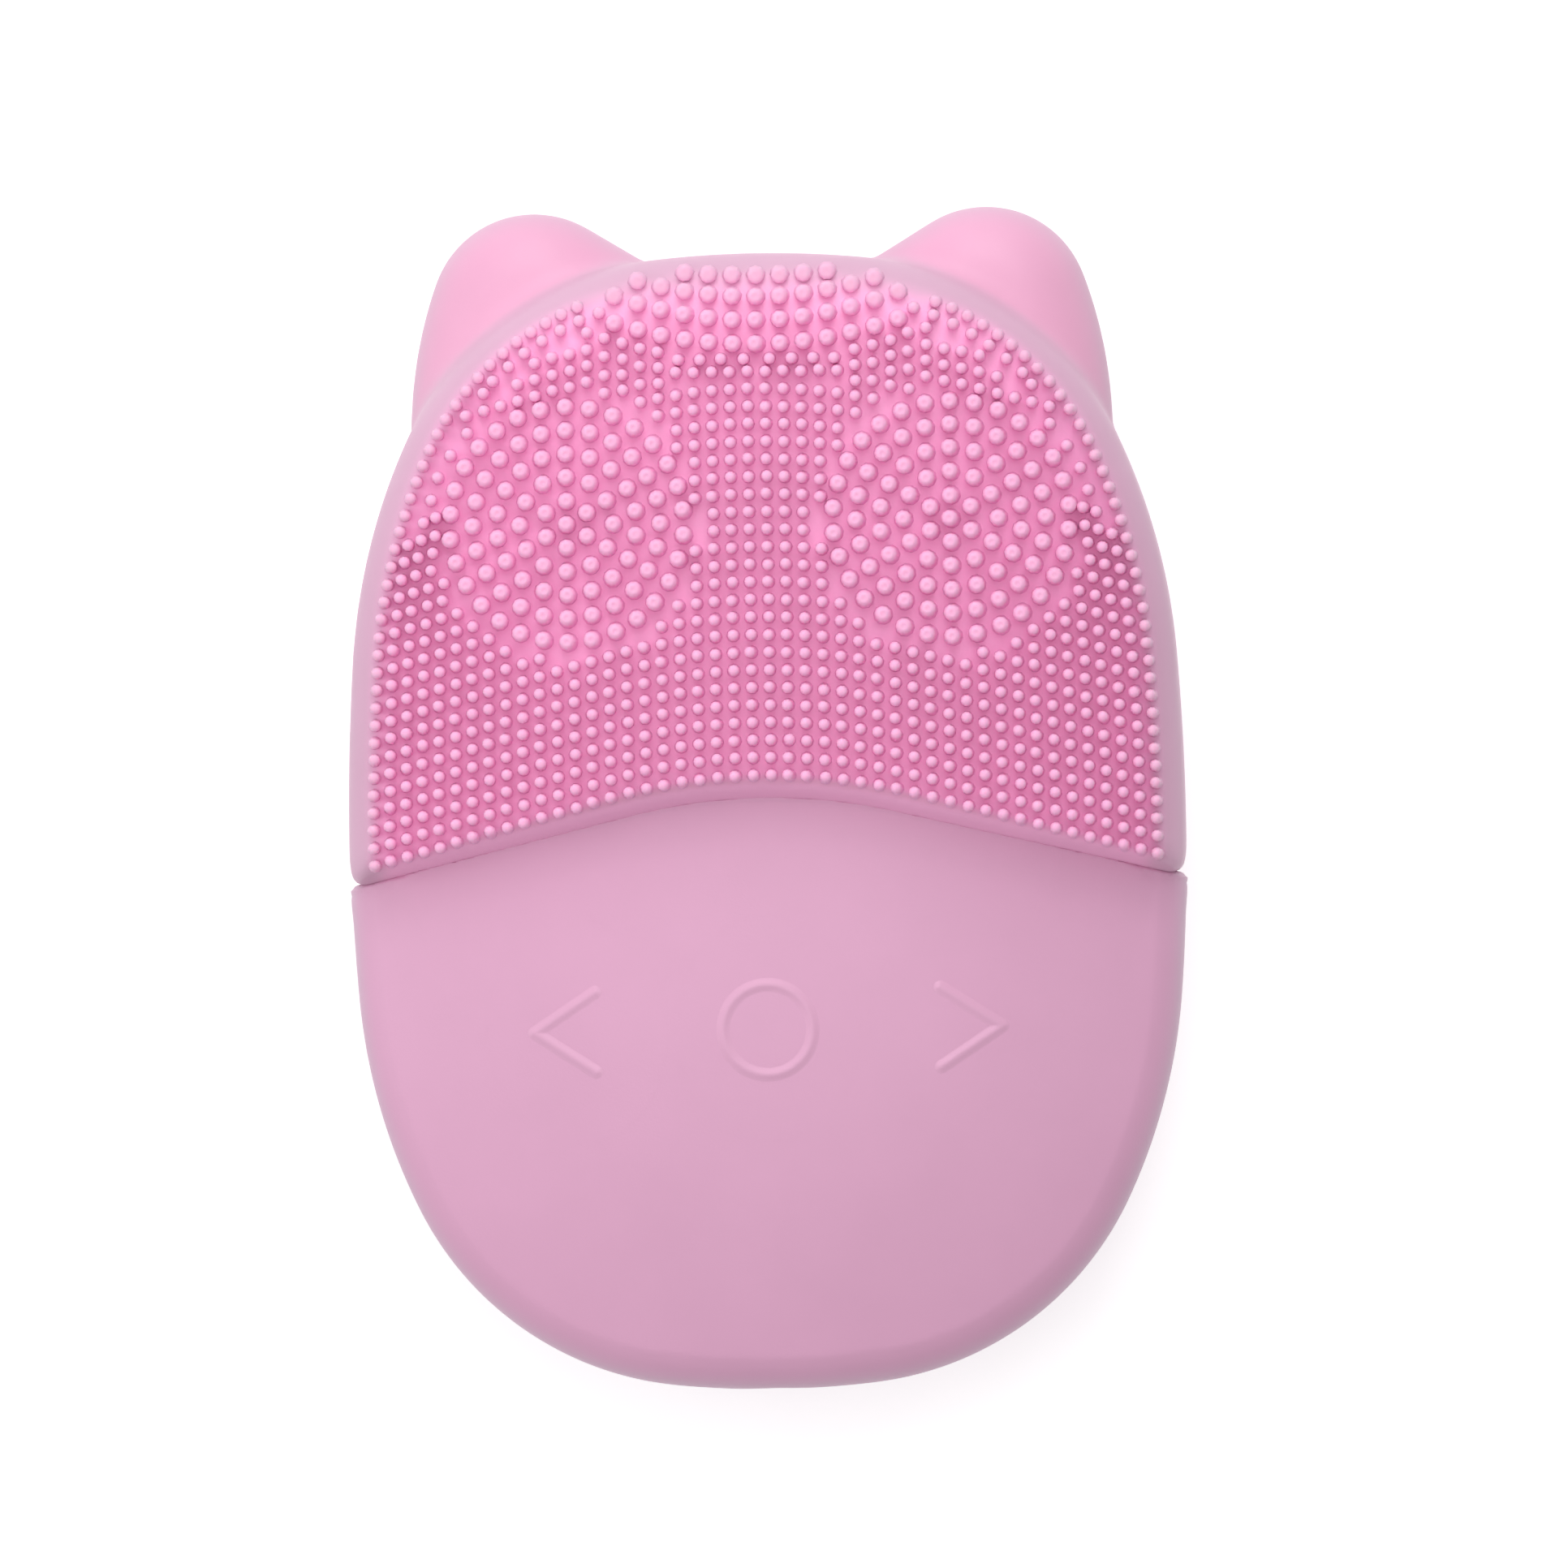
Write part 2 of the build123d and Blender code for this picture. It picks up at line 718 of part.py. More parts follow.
# ================================================================ board
with BuildPart() as circuit_board:
    with BuildSketch(Plane.XY.offset(board_z)):
        with Locations((0, (board_low_y + board_high_y) / 2)):
            RectangleRounded(board_width, board_high_y - board_low_y, board_corner)
    extrude(amount=board_thickness)


def chip(x, y, width, length, height):
    """A flat component that is soldered on the board's front."""
    with BuildPart() as package:
        with Locations((x, y, board_top + height / 2)):
            Box(width, length, height)
        chamfer(package.faces().sort_by(Axis.Z)[-1].edges(), chip_bevel)
    return package


controller_chip = chip(0, -10.6, 5.0, 5.0, 0.9)
charger_chip = chip(-7.2, -26.6, 3.0, 3.0, 1.0)
status_led = chip(0, -25.6, 1.6, 0.8, 0.8)
small_components = {
    "coil": (7.6, -26.4, 4.0, 4.0, 2.0),
    "input capacitor": (-3.6, -28.6, 1.6, 0.8, 0.8),
    "output capacitor": (3.4, -28.6, 1.6, 0.8, 0.8),
    "left resistor": (-6.4, -9.6, 1.6, 0.8, 0.6),
    "left pull-up": (-6.4, -11.8, 1.6, 0.8, 0.6),
    "crystal": (5.8, -12.2, 2.0, 1.6, 0.8),
    "motor transistor": (-9.6, -12.4, 2.9, 1.5, 1.1),
}
small_solids = [chip(*place).part for place in small_components.values()]
with BuildPart() as board_components:
    add(small_solids)


def connector(x):
    """A lead connector at the board's head edge."""
    with BuildPart() as shell:
        y = board_high_y - connector_edge - connector_length / 2
        with Locations((x, y, board_top + connector_height / 2)):
            Box(connector_width, connector_length, connector_height)
        fillet(shell.edges().filter_by(Axis.Y).group_by(Axis.Z)[-1], connector_rounding)
    return shell


battery_connector = connector(cell_lead_x)
motor_connector = connector(motor_lead_x)
lead_z = board_top + connector_height / 2
lead_end_y = board_high_y - connector_edge

# ================================================================ battery
cell_z = cavity_inset + foam_thickness
cell_top = cell_z + cell_thickness
cell_y = cell_low_y + cell_length / 2
with BuildPart() as battery_cell:
    with Locations((0, cell_y, cell_z + cell_thickness / 2)):
        Box(cell_width, cell_length, cell_thickness)
    fillet(battery_cell.edges().filter_by(Axis.Y), cell_edge_radius)

with BuildPart() as battery_foam:
    with Locations((0, cell_y, cavity_inset + foam_thickness / 2)):
        Box(cell_width - 2 * foam_inset, cell_length - 2 * foam_inset, foam_thickness)

board_foam_length = board_high_y - cell_low_y - foam_inset * 2
with BuildPart() as board_foam:
    with Locations((0, cell_low_y + foam_inset + board_foam_length / 2, (cell_top + board_z) / 2)):
        Box(cell_width - 4 * foam_inset, board_foam_length, board_z - cell_top)


def lead(points, bend):
    """A round wire along straight runs with tangent bends."""
    with BuildPart() as wire:
        with BuildLine() as route:
            FilletPolyline(*points, radius=bend)
        start, following = Vector(*points[0]), Vector(*points[1])
        with BuildSketch(Plane(origin=start, z_dir=following - start)):
            Circle(lead_radius)
        sweep(path=route.line)
    return wire.part


lead_offsets = (-lead_spacing / 2, lead_spacing / 2)
cell_end_y = cell_low_y + cell_length
cell_mid_z = cell_z + cell_thickness / 2
cell_turn_y = cell_end_y + cell_lead_reach
cell_wires = []
for shift in lead_offsets:
    lead_x = cell_lead_x + shift
    route_points = [
        (lead_x, cell_end_y, cell_mid_z),
        (lead_x, cell_turn_y, cell_mid_z),
        (lead_x, cell_turn_y, lead_z),
        (lead_x, lead_end_y, lead_z),
    ]
    cell_wires.append(lead(route_points, lead_bend))
with BuildPart() as battery_leads:
    add(cell_wires)

# ================================================================ motor
front_bush_x = can_high_x - can_wall
weight_low_x = front_bush_x + bush_length + weight_gap
shaft_low_x = can_low_x - end_cap_thickness
shaft_high_x = weight_low_x + weight_length + shaft_end
with BuildPart() as motor_can:
    add(x_disc(can_radius, can_low_x, can_high_x - can_low_x))
    add(x_disc(can_radius - can_wall, can_low_x, can_high_x - can_low_x - can_wall), mode=Mode.SUBTRACT)
    add(x_disc(bush_radius, can_low_x, can_high_x - can_low_x), mode=Mode.SUBTRACT)

with BuildPart() as motor_end_cap:
    add(x_disc(can_radius, shaft_low_x, end_cap_thickness))
    add(x_disc(bush_radius, can_low_x - bush_length, bush_length), mode=Mode.SUBTRACT)
    add(x_disc(shaft_radius + running_gap, shaft_low_x, end_cap_thickness), mode=Mode.SUBTRACT)

with BuildPart() as motor_bushes:
    for bush_x in (can_low_x - bush_length, front_bush_x):
        add(x_disc(bush_radius, bush_x, bush_length))
    add(x_disc(shaft_radius + running_gap, shaft_low_x, far), mode=Mode.SUBTRACT)

with BuildPart() as motor_magnets:
    magnet_x = rotor_low_x + (rotor_length - magnet_length) / 2
    inner_radius = can_radius - can_wall - magnet_thickness
    add(x_disc(can_radius - can_wall, magnet_x, magnet_length))
    add(x_disc(inner_radius, magnet_x, magnet_length), mode=Mode.SUBTRACT)
    gap_height = 2 * can_radius * cos(radians(magnet_arc / 2))
    with Locations((magnet_x + magnet_length / 2, motor_y, motor_z)):
        Box(magnet_length, 2 * can_radius, gap_height, mode=Mode.SUBTRACT)

with BuildPart() as motor_shaft:
    add(x_disc(shaft_radius, shaft_low_x, shaft_high_x - shaft_low_x))

with BuildPart() as rotor_core:
    with BuildSketch(Plane(origin=(rotor_low_x, motor_y, motor_z), x_dir=(0, 1, 0), z_dir=(1, 0, 0))):
        Circle(rotor_radius)
        with PolarLocations(rotor_radius - rotor_slot_depth / 2, 3):
            Rectangle(rotor_slot_depth, rotor_slot, mode=Mode.SUBTRACT)
        Circle(shaft_radius, mode=Mode.SUBTRACT)
    extrude(amount=rotor_length)

commutator_x = rotor_low_x - commutator_length
with BuildPart() as commutator:
    add(x_disc(commutator_radius, commutator_x, commutator_length))
    add(x_disc(shaft_radius, commutator_x, commutator_length), mode=Mode.SUBTRACT)

with BuildPart() as motor_brushes:
    arm_length = commutator_x + commutator_length / 2 - can_low_x
    arm_y = commutator_radius + running_gap + brush_thickness / 2
    arm_x = can_low_x + arm_length / 2
    with Locations((arm_x, motor_y - arm_y, motor_z), (arm_x, motor_y + arm_y, motor_z)):
        Box(arm_length, brush_thickness, brush_width)

with BuildPart() as eccentric_weight:
    with BuildSketch(Plane(origin=(weight_low_x, motor_y, motor_z), x_dir=(0, 1, 0), z_dir=(1, 0, 0))):
        Circle(weight_radius)
        with Locations((0, weight_radius)):
            Rectangle(4 * weight_radius, 2 * weight_radius, mode=Mode.SUBTRACT)
        Circle(weight_hub_radius)
        Circle(shaft_radius, mode=Mode.SUBTRACT)
    extrude(amount=weight_length)

with BuildPart() as motor_sleeve:
    add(x_disc(sleeve_radius, clamp_x - sleeve_length / 2, sleeve_length))
    add(x_disc(can_radius, clamp_x - sleeve_length / 2, sleeve_length), mode=Mode.SUBTRACT)

with BuildPart() as motor_clamp:
    add(x_disc(clamp_radius, clamp_x - clamp_width / 2, clamp_width))
    with Locations((clamp_x, motor_y, motor_z + clamp_wall / 2)):
        Box(clamp_width, 2 * (clamp_radius + clamp_tab), clamp_wall)
    add(x_disc(sleeve_radius, clamp_x - clamp_width / 2, clamp_width), mode=Mode.SUBTRACT)
    add(half_space(motor_z, far), mode=Mode.INTERSECT)
    with BuildSketch(Plane.XY.offset(motor_z)):
        with Locations((clamp_x, motor_y - clamp_screw_y), (clamp_x, motor_y + clamp_screw_y)):
            Circle(clamp_screw_radius + screw_hole_gap)
    extrude(amount=clamp_wall, mode=Mode.SUBTRACT)

with BuildPart() as clamp_screws:
    for side in (-1, 1):
        with BuildSketch(Plane.XY.offset(motor_z + clamp_wall)):
            with Locations((clamp_x, motor_y + side * clamp_screw_y)):
                Circle(clamp_screw_head)
        extrude(amount=clamp_screw_head_height)
        with BuildSketch(Plane.XY.offset(motor_z + clamp_wall)):
            with Locations((clamp_x, motor_y + side * clamp_screw_y)):
                Circle(clamp_screw_radius)
        extrude(amount=-clamp_screw_length)

terminal_x = shaft_low_x - terminal_length
terminal_places = [
    (shaft_low_x - terminal_length / 2, motor_y + side * terminal_offset, lead_z) for side in (-1, 1)
]
with BuildPart() as motor_terminals:
    with Locations(*terminal_places):
        Box(terminal_length, terminal_size, terminal_size)

motor_wires = []
for side in (-1, 1):
    lead_x = motor_lead_x - side * lead_spacing / 2
    start_y = motor_y + side * terminal_offset
    route_points = [(terminal_x, start_y, lead_z), (lead_x, start_y, lead_z), (lead_x, lead_end_y, lead_z)]
    motor_wires.append(lead(route_points, lead_bend))
with BuildPart() as motor_leads:
    add(motor_wires)

# ================================================================ written pieces
pieces = {
    "head_cover": head_cover,
    "bristle_pad": bristle_pad,
    "handle_sleeve": handle_sleeve,
    "front_shell": front_shell,
    "rear_shell": rear_shell,
    "shell_seal": shell_seal,
    "shell_screws": shell_screws,
    "charging_socket": charging_socket,
    "port_gasket": port_gasket,
    "circuit_board": circuit_board,
    "controller_chip": controller_chip,
    "charger_chip": charger_chip,
    "status_led": status_led,
    "board_components": board_components,
    "battery_connector": battery_connector,
    "motor_connector": motor_connector,
    "battery_cell": battery_cell,
    "battery_foam": battery_foam,
    "board_foam": board_foam,
    "battery_leads": battery_leads,
    "motor_can": motor_can,
    "motor_end_cap": motor_end_cap,
    "motor_bushes": motor_bushes,
    "motor_magnets": motor_magnets,
    "motor_brushes": motor_brushes,
    "motor_terminals": motor_terminals,
    "motor_leads": motor_leads,
    "motor_shaft": motor_shaft,
    "rotor_core": rotor_core,
    "commutator": commutator,
    "eccentric_weight": eccentric_weight,
    "motor_sleeve": motor_sleeve,
    "motor_clamp": motor_clamp,
    "clamp_screws": clamp_screws,
}
for key in key_places:
    pieces[f"{key}_button"] = key_pads[key]
    pieces[f"{key}_key_cap"] = key_caps[key]
    pieces[f"{key}_switch_stem"] = switch_stems[key]
    pieces[f"{key}_switch_body"] = switch_bodies[key]

for name, piece in pieces.items():
    piece.part.label = name
    export_step(piece.part, f"parts/{name}.step")
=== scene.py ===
"""Facial cleansing brush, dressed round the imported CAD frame.

The brush lies on its back: X runs across it, Y towards its ears and Z out of its bristles. Sizes in the
classes are millimetres, and MM turns them into the frame's metres.
"""

import json
import logging
import math
import random
from dataclasses import dataclass
from enum import Enum
from typing import Any, Callable, Iterable, Optional, Sequence

import bmesh
import bpy
import numpy as np
from mathutils import Matrix, Vector
from mathutils.bvhtree import BVHTree
from mathutils.kdtree import KDTree

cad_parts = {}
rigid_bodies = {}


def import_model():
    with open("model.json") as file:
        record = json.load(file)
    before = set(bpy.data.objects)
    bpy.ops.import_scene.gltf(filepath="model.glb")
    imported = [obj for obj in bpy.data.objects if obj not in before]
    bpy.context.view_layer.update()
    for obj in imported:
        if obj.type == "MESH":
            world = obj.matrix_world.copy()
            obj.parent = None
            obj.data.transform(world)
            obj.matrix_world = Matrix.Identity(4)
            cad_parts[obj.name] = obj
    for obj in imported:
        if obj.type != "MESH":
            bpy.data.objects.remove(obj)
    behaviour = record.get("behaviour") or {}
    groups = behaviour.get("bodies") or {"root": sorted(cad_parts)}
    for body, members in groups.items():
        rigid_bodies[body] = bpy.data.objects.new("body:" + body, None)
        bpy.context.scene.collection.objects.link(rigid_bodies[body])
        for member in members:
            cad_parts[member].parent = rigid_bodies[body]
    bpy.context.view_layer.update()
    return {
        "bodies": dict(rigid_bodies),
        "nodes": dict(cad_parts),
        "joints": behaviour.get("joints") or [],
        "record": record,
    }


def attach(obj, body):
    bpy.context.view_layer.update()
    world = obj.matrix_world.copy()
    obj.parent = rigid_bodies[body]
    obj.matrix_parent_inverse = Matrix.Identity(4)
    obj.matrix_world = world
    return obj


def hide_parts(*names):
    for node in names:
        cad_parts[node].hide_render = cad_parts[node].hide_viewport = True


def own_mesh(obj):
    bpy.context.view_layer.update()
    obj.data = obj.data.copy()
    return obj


MM = 0.001
LOG = logging.getLogger("brush")

Colour = tuple[float, float, float]
Point = tuple[float, float]
Band = tuple[float, float]


def srgb(red: int, green: int, blue: int) -> Colour:
    """Turns a display colour into a linear one.

    Args:
        red: Red, 0 to 255.
        green: Green, 0 to 255.
        blue: Blue, 0 to 255.

    Returns:
        The linear colour.
    """
    def linear(part: int) -> float:
        """One channel."""
        share = part / 255
        return share / 12.92 if share <= 0.04045 else ((share + 0.055) / 1.055) ** 2.4
    return (linear(red), linear(green), linear(blue))


def ramp(value: float, low: float, high: float) -> float:
    """A smooth step.

    Args:
        value: The number to place.
        low: Where the step starts.
        high: Where it ends.

    Returns:
        0 at low, 1 at high and a smooth curve between them.
    """
    share = min(max((value - low) / (high - low), 0.0), 1.0)
    return share * share * (3 - 2 * share)


# ---------------------------------------------------------------------------------------- forms
@dataclass(frozen=True)
class Crown:
    """A front surface: an arc across the brush that falls away towards both ends."""

    top: float
    barrel_radius: float = 75.0
    low_y: float = -10.0
    high_y: float = 20.0
    tail_fall: float = 110.0
    head_fall: float = 60.0

    def line(self, y: float) -> float:
        """Height on the middle line."""
        if y < self.low_y:
            radius, reach = self.tail_fall, self.low_y - y
        elif y > self.high_y:
            radius, reach = self.head_fall, y - self.high_y
        else:
            return self.top
        return self.top - radius + math.sqrt(radius**2 - reach**2)

    def height(self, x: float, y: float) -> float:
        """Height at a place."""
        axis = self.top - self.barrel_radius
        return axis + math.sqrt((self.line(y) - axis) ** 2 - x**2)

    def normal(self, x: float, y: float) -> Vector:
        """Outward normal at a place."""
        step = 0.01
        slope_x = (self.height(x + step, y) - self.height(x - step, y)) / (2 * step)
        slope_y = (self.height(x, y + step) - self.height(x, y - step)) / (2 * step)
        return Vector((-slope_x, -slope_y, 1.0)).normalized()


@dataclass(frozen=True)
class Arch:
    """An arched line across the brush: a circle with a straight flank each side."""

    apex_y: float
    radius: float
    flank_angle: float

    def height(self, x: float) -> float:
        """Where the line crosses x."""
        turn = math.radians(self.flank_angle)
        flank_x = self.radius * math.sin(turn)
        if abs(x) > flank_x:
            return self.apex_y - self.radius * (1 - math.cos(turn)) - math.tan(turn) * (abs(x) - flank_x)
        return self.apex_y - self.radius + math.sqrt(self.radius**2 - x**2)

    def distance(self, x: float, y: float) -> float:
        """About how far a place is above the line."""
        return (y - self.height(x)) * math.cos(math.radians(self.flank_angle))


@dataclass(frozen=True)
class HeadOutline:
    """The head's plan above the widest line: four tangent arcs a side."""

    half_width: float = 32.6
    widest_y: float = -2.85
    reach: float = 45.4
    side_radius: float = 192.0
    end_radius: float = 80.8
    turns: tuple[float, ...] = (4.2, 21.0, 59.1, 5.7)

    def arcs(self, inset: float) -> list[tuple[Point, float, float, float]]:
        """The arcs of the right-hand side.

        Args:
            inset: How far inside the outline they run.

        Returns:
            Centre, radius, first and last turn of each arc, measured from the widest line.
        """
        share = 90.0 / sum(self.turns)
        bends = [math.radians(sum(self.turns[:count]) * share) for count in range(len(self.turns) + 1)]
        across = [math.cos(a) - math.cos(b) for a, b in zip(bends, bends[1:])]
        along = [math.sin(b) - math.sin(a) for a, b in zip(bends, bends[1:])]
        first, last = self.side_radius - inset, self.end_radius - inset
        rest_x = self.half_width - inset - first * across[0] - last * across[3]
        rest_y = self.reach - inset - first * along[0] - last * along[3]
        scale = across[1] * along[2] - across[2] * along[1]
        shoulder = (rest_x * along[2] - rest_y * across[2]) / scale
        corner = (rest_y * across[1] - rest_x * along[1]) / scale
        found = []
        x, y = self.half_width - inset, 0.0
        for radius, a, b in zip((first, shoulder, corner, last), bends, bends[1:]):
            centre = (x - radius * math.cos(a), y - radius * math.sin(a))
            found.append((centre, radius, a, b))
            x, y = centre[0] + radius * math.cos(b), centre[1] + radius * math.sin(b)
        return found

    def width(self, y: float, inset: float) -> float:
        """Half the width at y, inset inside the outline, or 0 beyond its end."""
        height = abs(y - self.widest_y)
        for centre, radius, a, b in self.arcs(inset):
            if centre[1] + radius * math.sin(a) <= height <= centre[1] + radius * math.sin(b):
                return centre[0] + math.sqrt(max(radius**2 - (height - centre[1]) ** 2, 0.0))
        return 0.0

    def depth(self, x: float, y: float, arcs: Sequence[tuple[Point, float, float, float]]) -> float:
        """How far a place is inside the outline.

        Args:
            x: Place across.
            y: Place along.
            arcs: What arcs(0) gives.

        Returns:
            The distance, below 0 outside the outline.
        """
        if y <= self.widest_y:
            return self.half_width - abs(x)
        for centre, radius, _, b in arcs:
            side, up = abs(x) - centre[0], y - self.widest_y - centre[1]
            if math.atan2(up, side) <= b:
                return radius - math.hypot(side, up)
        return self.reach - (y - self.widest_y)


PANEL = Crown(top=23.0)
SLAB = Crown(top=25.5)
OUTLINE = HeadOutline()
STEP = Arch(apex_y=-0.1, radius=44.0, flank_angle=13.5)


# ---------------------------------------------------------------------------------------- bench
class Bench:
    """The modelling steps that the pieces share."""

    @staticmethod
    def only(*objects: bpy.types.Object) -> None:
        """Selects these objects alone, the first one active."""
        if bpy.context.object and bpy.context.object.mode != "OBJECT":
            bpy.ops.object.mode_set(mode="OBJECT")
        bpy.ops.object.select_all(action="DESELECT")
        for piece in objects:
            piece.select_set(True)
        bpy.context.view_layer.objects.active = objects[0]

    @staticmethod
    def edit(piece: bpy.types.Object, kind: str = "VERT", select: str = "SELECT") -> None:
        """Opens a piece for editing with all or nothing of it selected."""
        Bench.only(piece)
        bpy.ops.object.mode_set(mode="EDIT")
        bpy.ops.mesh.select_mode(type=kind)
        bpy.ops.mesh.select_all(action=select)

    @staticmethod
    def close() -> None:
        """Leaves edit mode."""
        bpy.ops.object.mode_set(mode="OBJECT")

    @staticmethod
    def pick_faces(piece: bpy.types.Object, wanted: Callable[[bmesh.types.BMFace], bool]) -> None:
        """Opens a piece and selects its faces by a test.

        Args:
            piece: The piece.
            wanted: Says whether a face is selected.
        """
        Bench.edit(piece, "FACE", "DESELECT")
        shape = bmesh.from_edit_mesh(piece.data)
        for face in shape.faces:
            if wanted(face):
                face.select_set(True)
        bmesh.update_edit_mesh(piece.data)

    @staticmethod
    def node_copy(frame: dict[str, Any], node: str, name: str) -> bpy.types.Object:
        """Copies a CAD node into a new piece, its loose triangles merged.

        Args:
            node: The CAD node.
            name: The new piece's name.

        Returns:
            The new piece.
        """
        piece = bpy.data.objects.new(name, frame["nodes"][node].data.copy())
        bpy.context.scene.collection.objects.link(piece)
        piece.data.materials.clear()
        Bench.edit(piece)
        bpy.ops.mesh.remove_doubles(threshold=0.001 * MM)
        Bench.close()
        return piece

    @staticmethod
    def join(target: bpy.types.Object, *others: bpy.types.Object) -> bpy.types.Object:
        """Joins other pieces into the target."""
        Bench.only(target, *others)
        bpy.ops.object.join()
        return target

    @staticmethod
    def modify(piece: bpy.types.Object, kind: str, **settings: Any) -> None:
        """Adds a modifier and applies it.

        Args:
            piece: The piece.
            kind: The modifier's type, such as BEVEL.
            **settings: The modifier's own settings.
        """
        modifier = piece.modifiers.new(kind.lower(), kind)
        for key, value in settings.items():
            setattr(modifier, key, value)
        Bench.only(piece)
        bpy.ops.object.modifier_apply(modifier=modifier.name)

    @staticmethod
    def points(piece: bpy.types.Object) -> np.ndarray:
        """A piece's vertices in millimetres, one row each."""
        flat = np.empty(len(piece.data.vertices) * 3)
        piece.data.vertices.foreach_get("co", flat)
        return flat.reshape(-1, 3) / MM

    @staticmethod
    def place(piece: bpy.types.Object, points: np.ndarray) -> None:
        """Puts a piece's vertices at these places, in millimetres."""
        piece.data.vertices.foreach_set("co", (points * MM).ravel())
        piece.data.update()

    @staticmethod
    def normals(piece: bpy.types.Object) -> np.ndarray:
        """A piece's vertex normals, one row each."""
        flat = np.empty(len(piece.data.vertices) * 3, dtype=np.float32)
        piece.data.vertex_normals.foreach_get("vector", flat)
        return flat.reshape(-1, 3)

    @staticmethod
    def group(piece: bpy.types.Object, name: str, weights: Iterable[float]) -> str:
        """Adds a vertex group with a weight for each vertex.

        Args:
            piece: The piece.
            name: The group's name.
            weights: One weight for each vertex; a vertex with 0 stays out.

        Returns:
            The group's name.
        """
        made = piece.vertex_groups.new(name=name)
        finest = 20
        steps: dict[int, list[int]] = {}
        for index, weight in enumerate(weights):
            level = round(weight * finest)
            if level:
                steps.setdefault(level, []).append(index)
        for level, indices in steps.items():
            made.add(indices, level / finest, "REPLACE")
        return name

    @staticmethod
    def mark(piece: bpy.types.Object, name: str, values: Iterable[float]) -> None:
        """Stores a number for each vertex, for a finish to read."""
        layer = piece.data.attributes.new(name, "FLOAT", "POINT")
        layer.data.foreach_set("value", np.array(list(values), dtype=np.float32))

    @staticmethod
    def smooth(piece: bpy.types.Object, angle: Optional[float] = None) -> None:
        """Shades a piece smooth, with edges sharper than angle (degrees) kept crisp if it is given."""
        Bench.only(piece)
        if angle is None:
            bpy.ops.object.shade_smooth()
        else:
            bpy.ops.object.shade_smooth_by_angle(angle=math.radians(angle))

    @staticmethod
    def outward(piece: bpy.types.Object) -> None:
        """Turns a piece's faces outwards."""
        Bench.edit(piece)
        bpy.ops.mesh.normals_make_consistent(inside=False)
        Bench.close()

    @staticmethod
    def triangles(piece: bpy.types.Object) -> int:
        """How many triangles a piece has."""
        return sum(len(face.vertices) - 2 for face in piece.data.polygons)


# ---------------------------------------------------------------------------------------- finishes
class Signal:
    """A node's output socket that takes part in sums and products."""

    def __init__(self, graph: "Graph", socket: bpy.types.NodeSocket) -> None:
        """Wraps a socket of a graph."""
        self.graph = graph
        self.socket = socket

    def _sum(self, operation: str, first: Any, second: Any) -> "Signal":
        """One Math node."""
        return self.graph.signal("ShaderNodeMath", {"operation": operation}, {0: first, 1: second})

    def __add__(self, other: Any) -> "Signal":
        """self + other."""
        return self._sum("ADD", self, other)

    def __radd__(self, other: Any) -> "Signal":
        """other + self."""
        return self._sum("ADD", other, self)

    def __sub__(self, other: Any) -> "Signal":
        """self - other."""
        return self._sum("SUBTRACT", self, other)

    def __rsub__(self, other: Any) -> "Signal":
        """other - self."""
        return self._sum("SUBTRACT", other, self)

    def __mul__(self, other: Any) -> "Signal":
        """self * other."""
        return self._sum("MULTIPLY", self, other)

    def __rmul__(self, other: Any) -> "Signal":
        """other * self."""
        return self._sum("MULTIPLY", other, self)


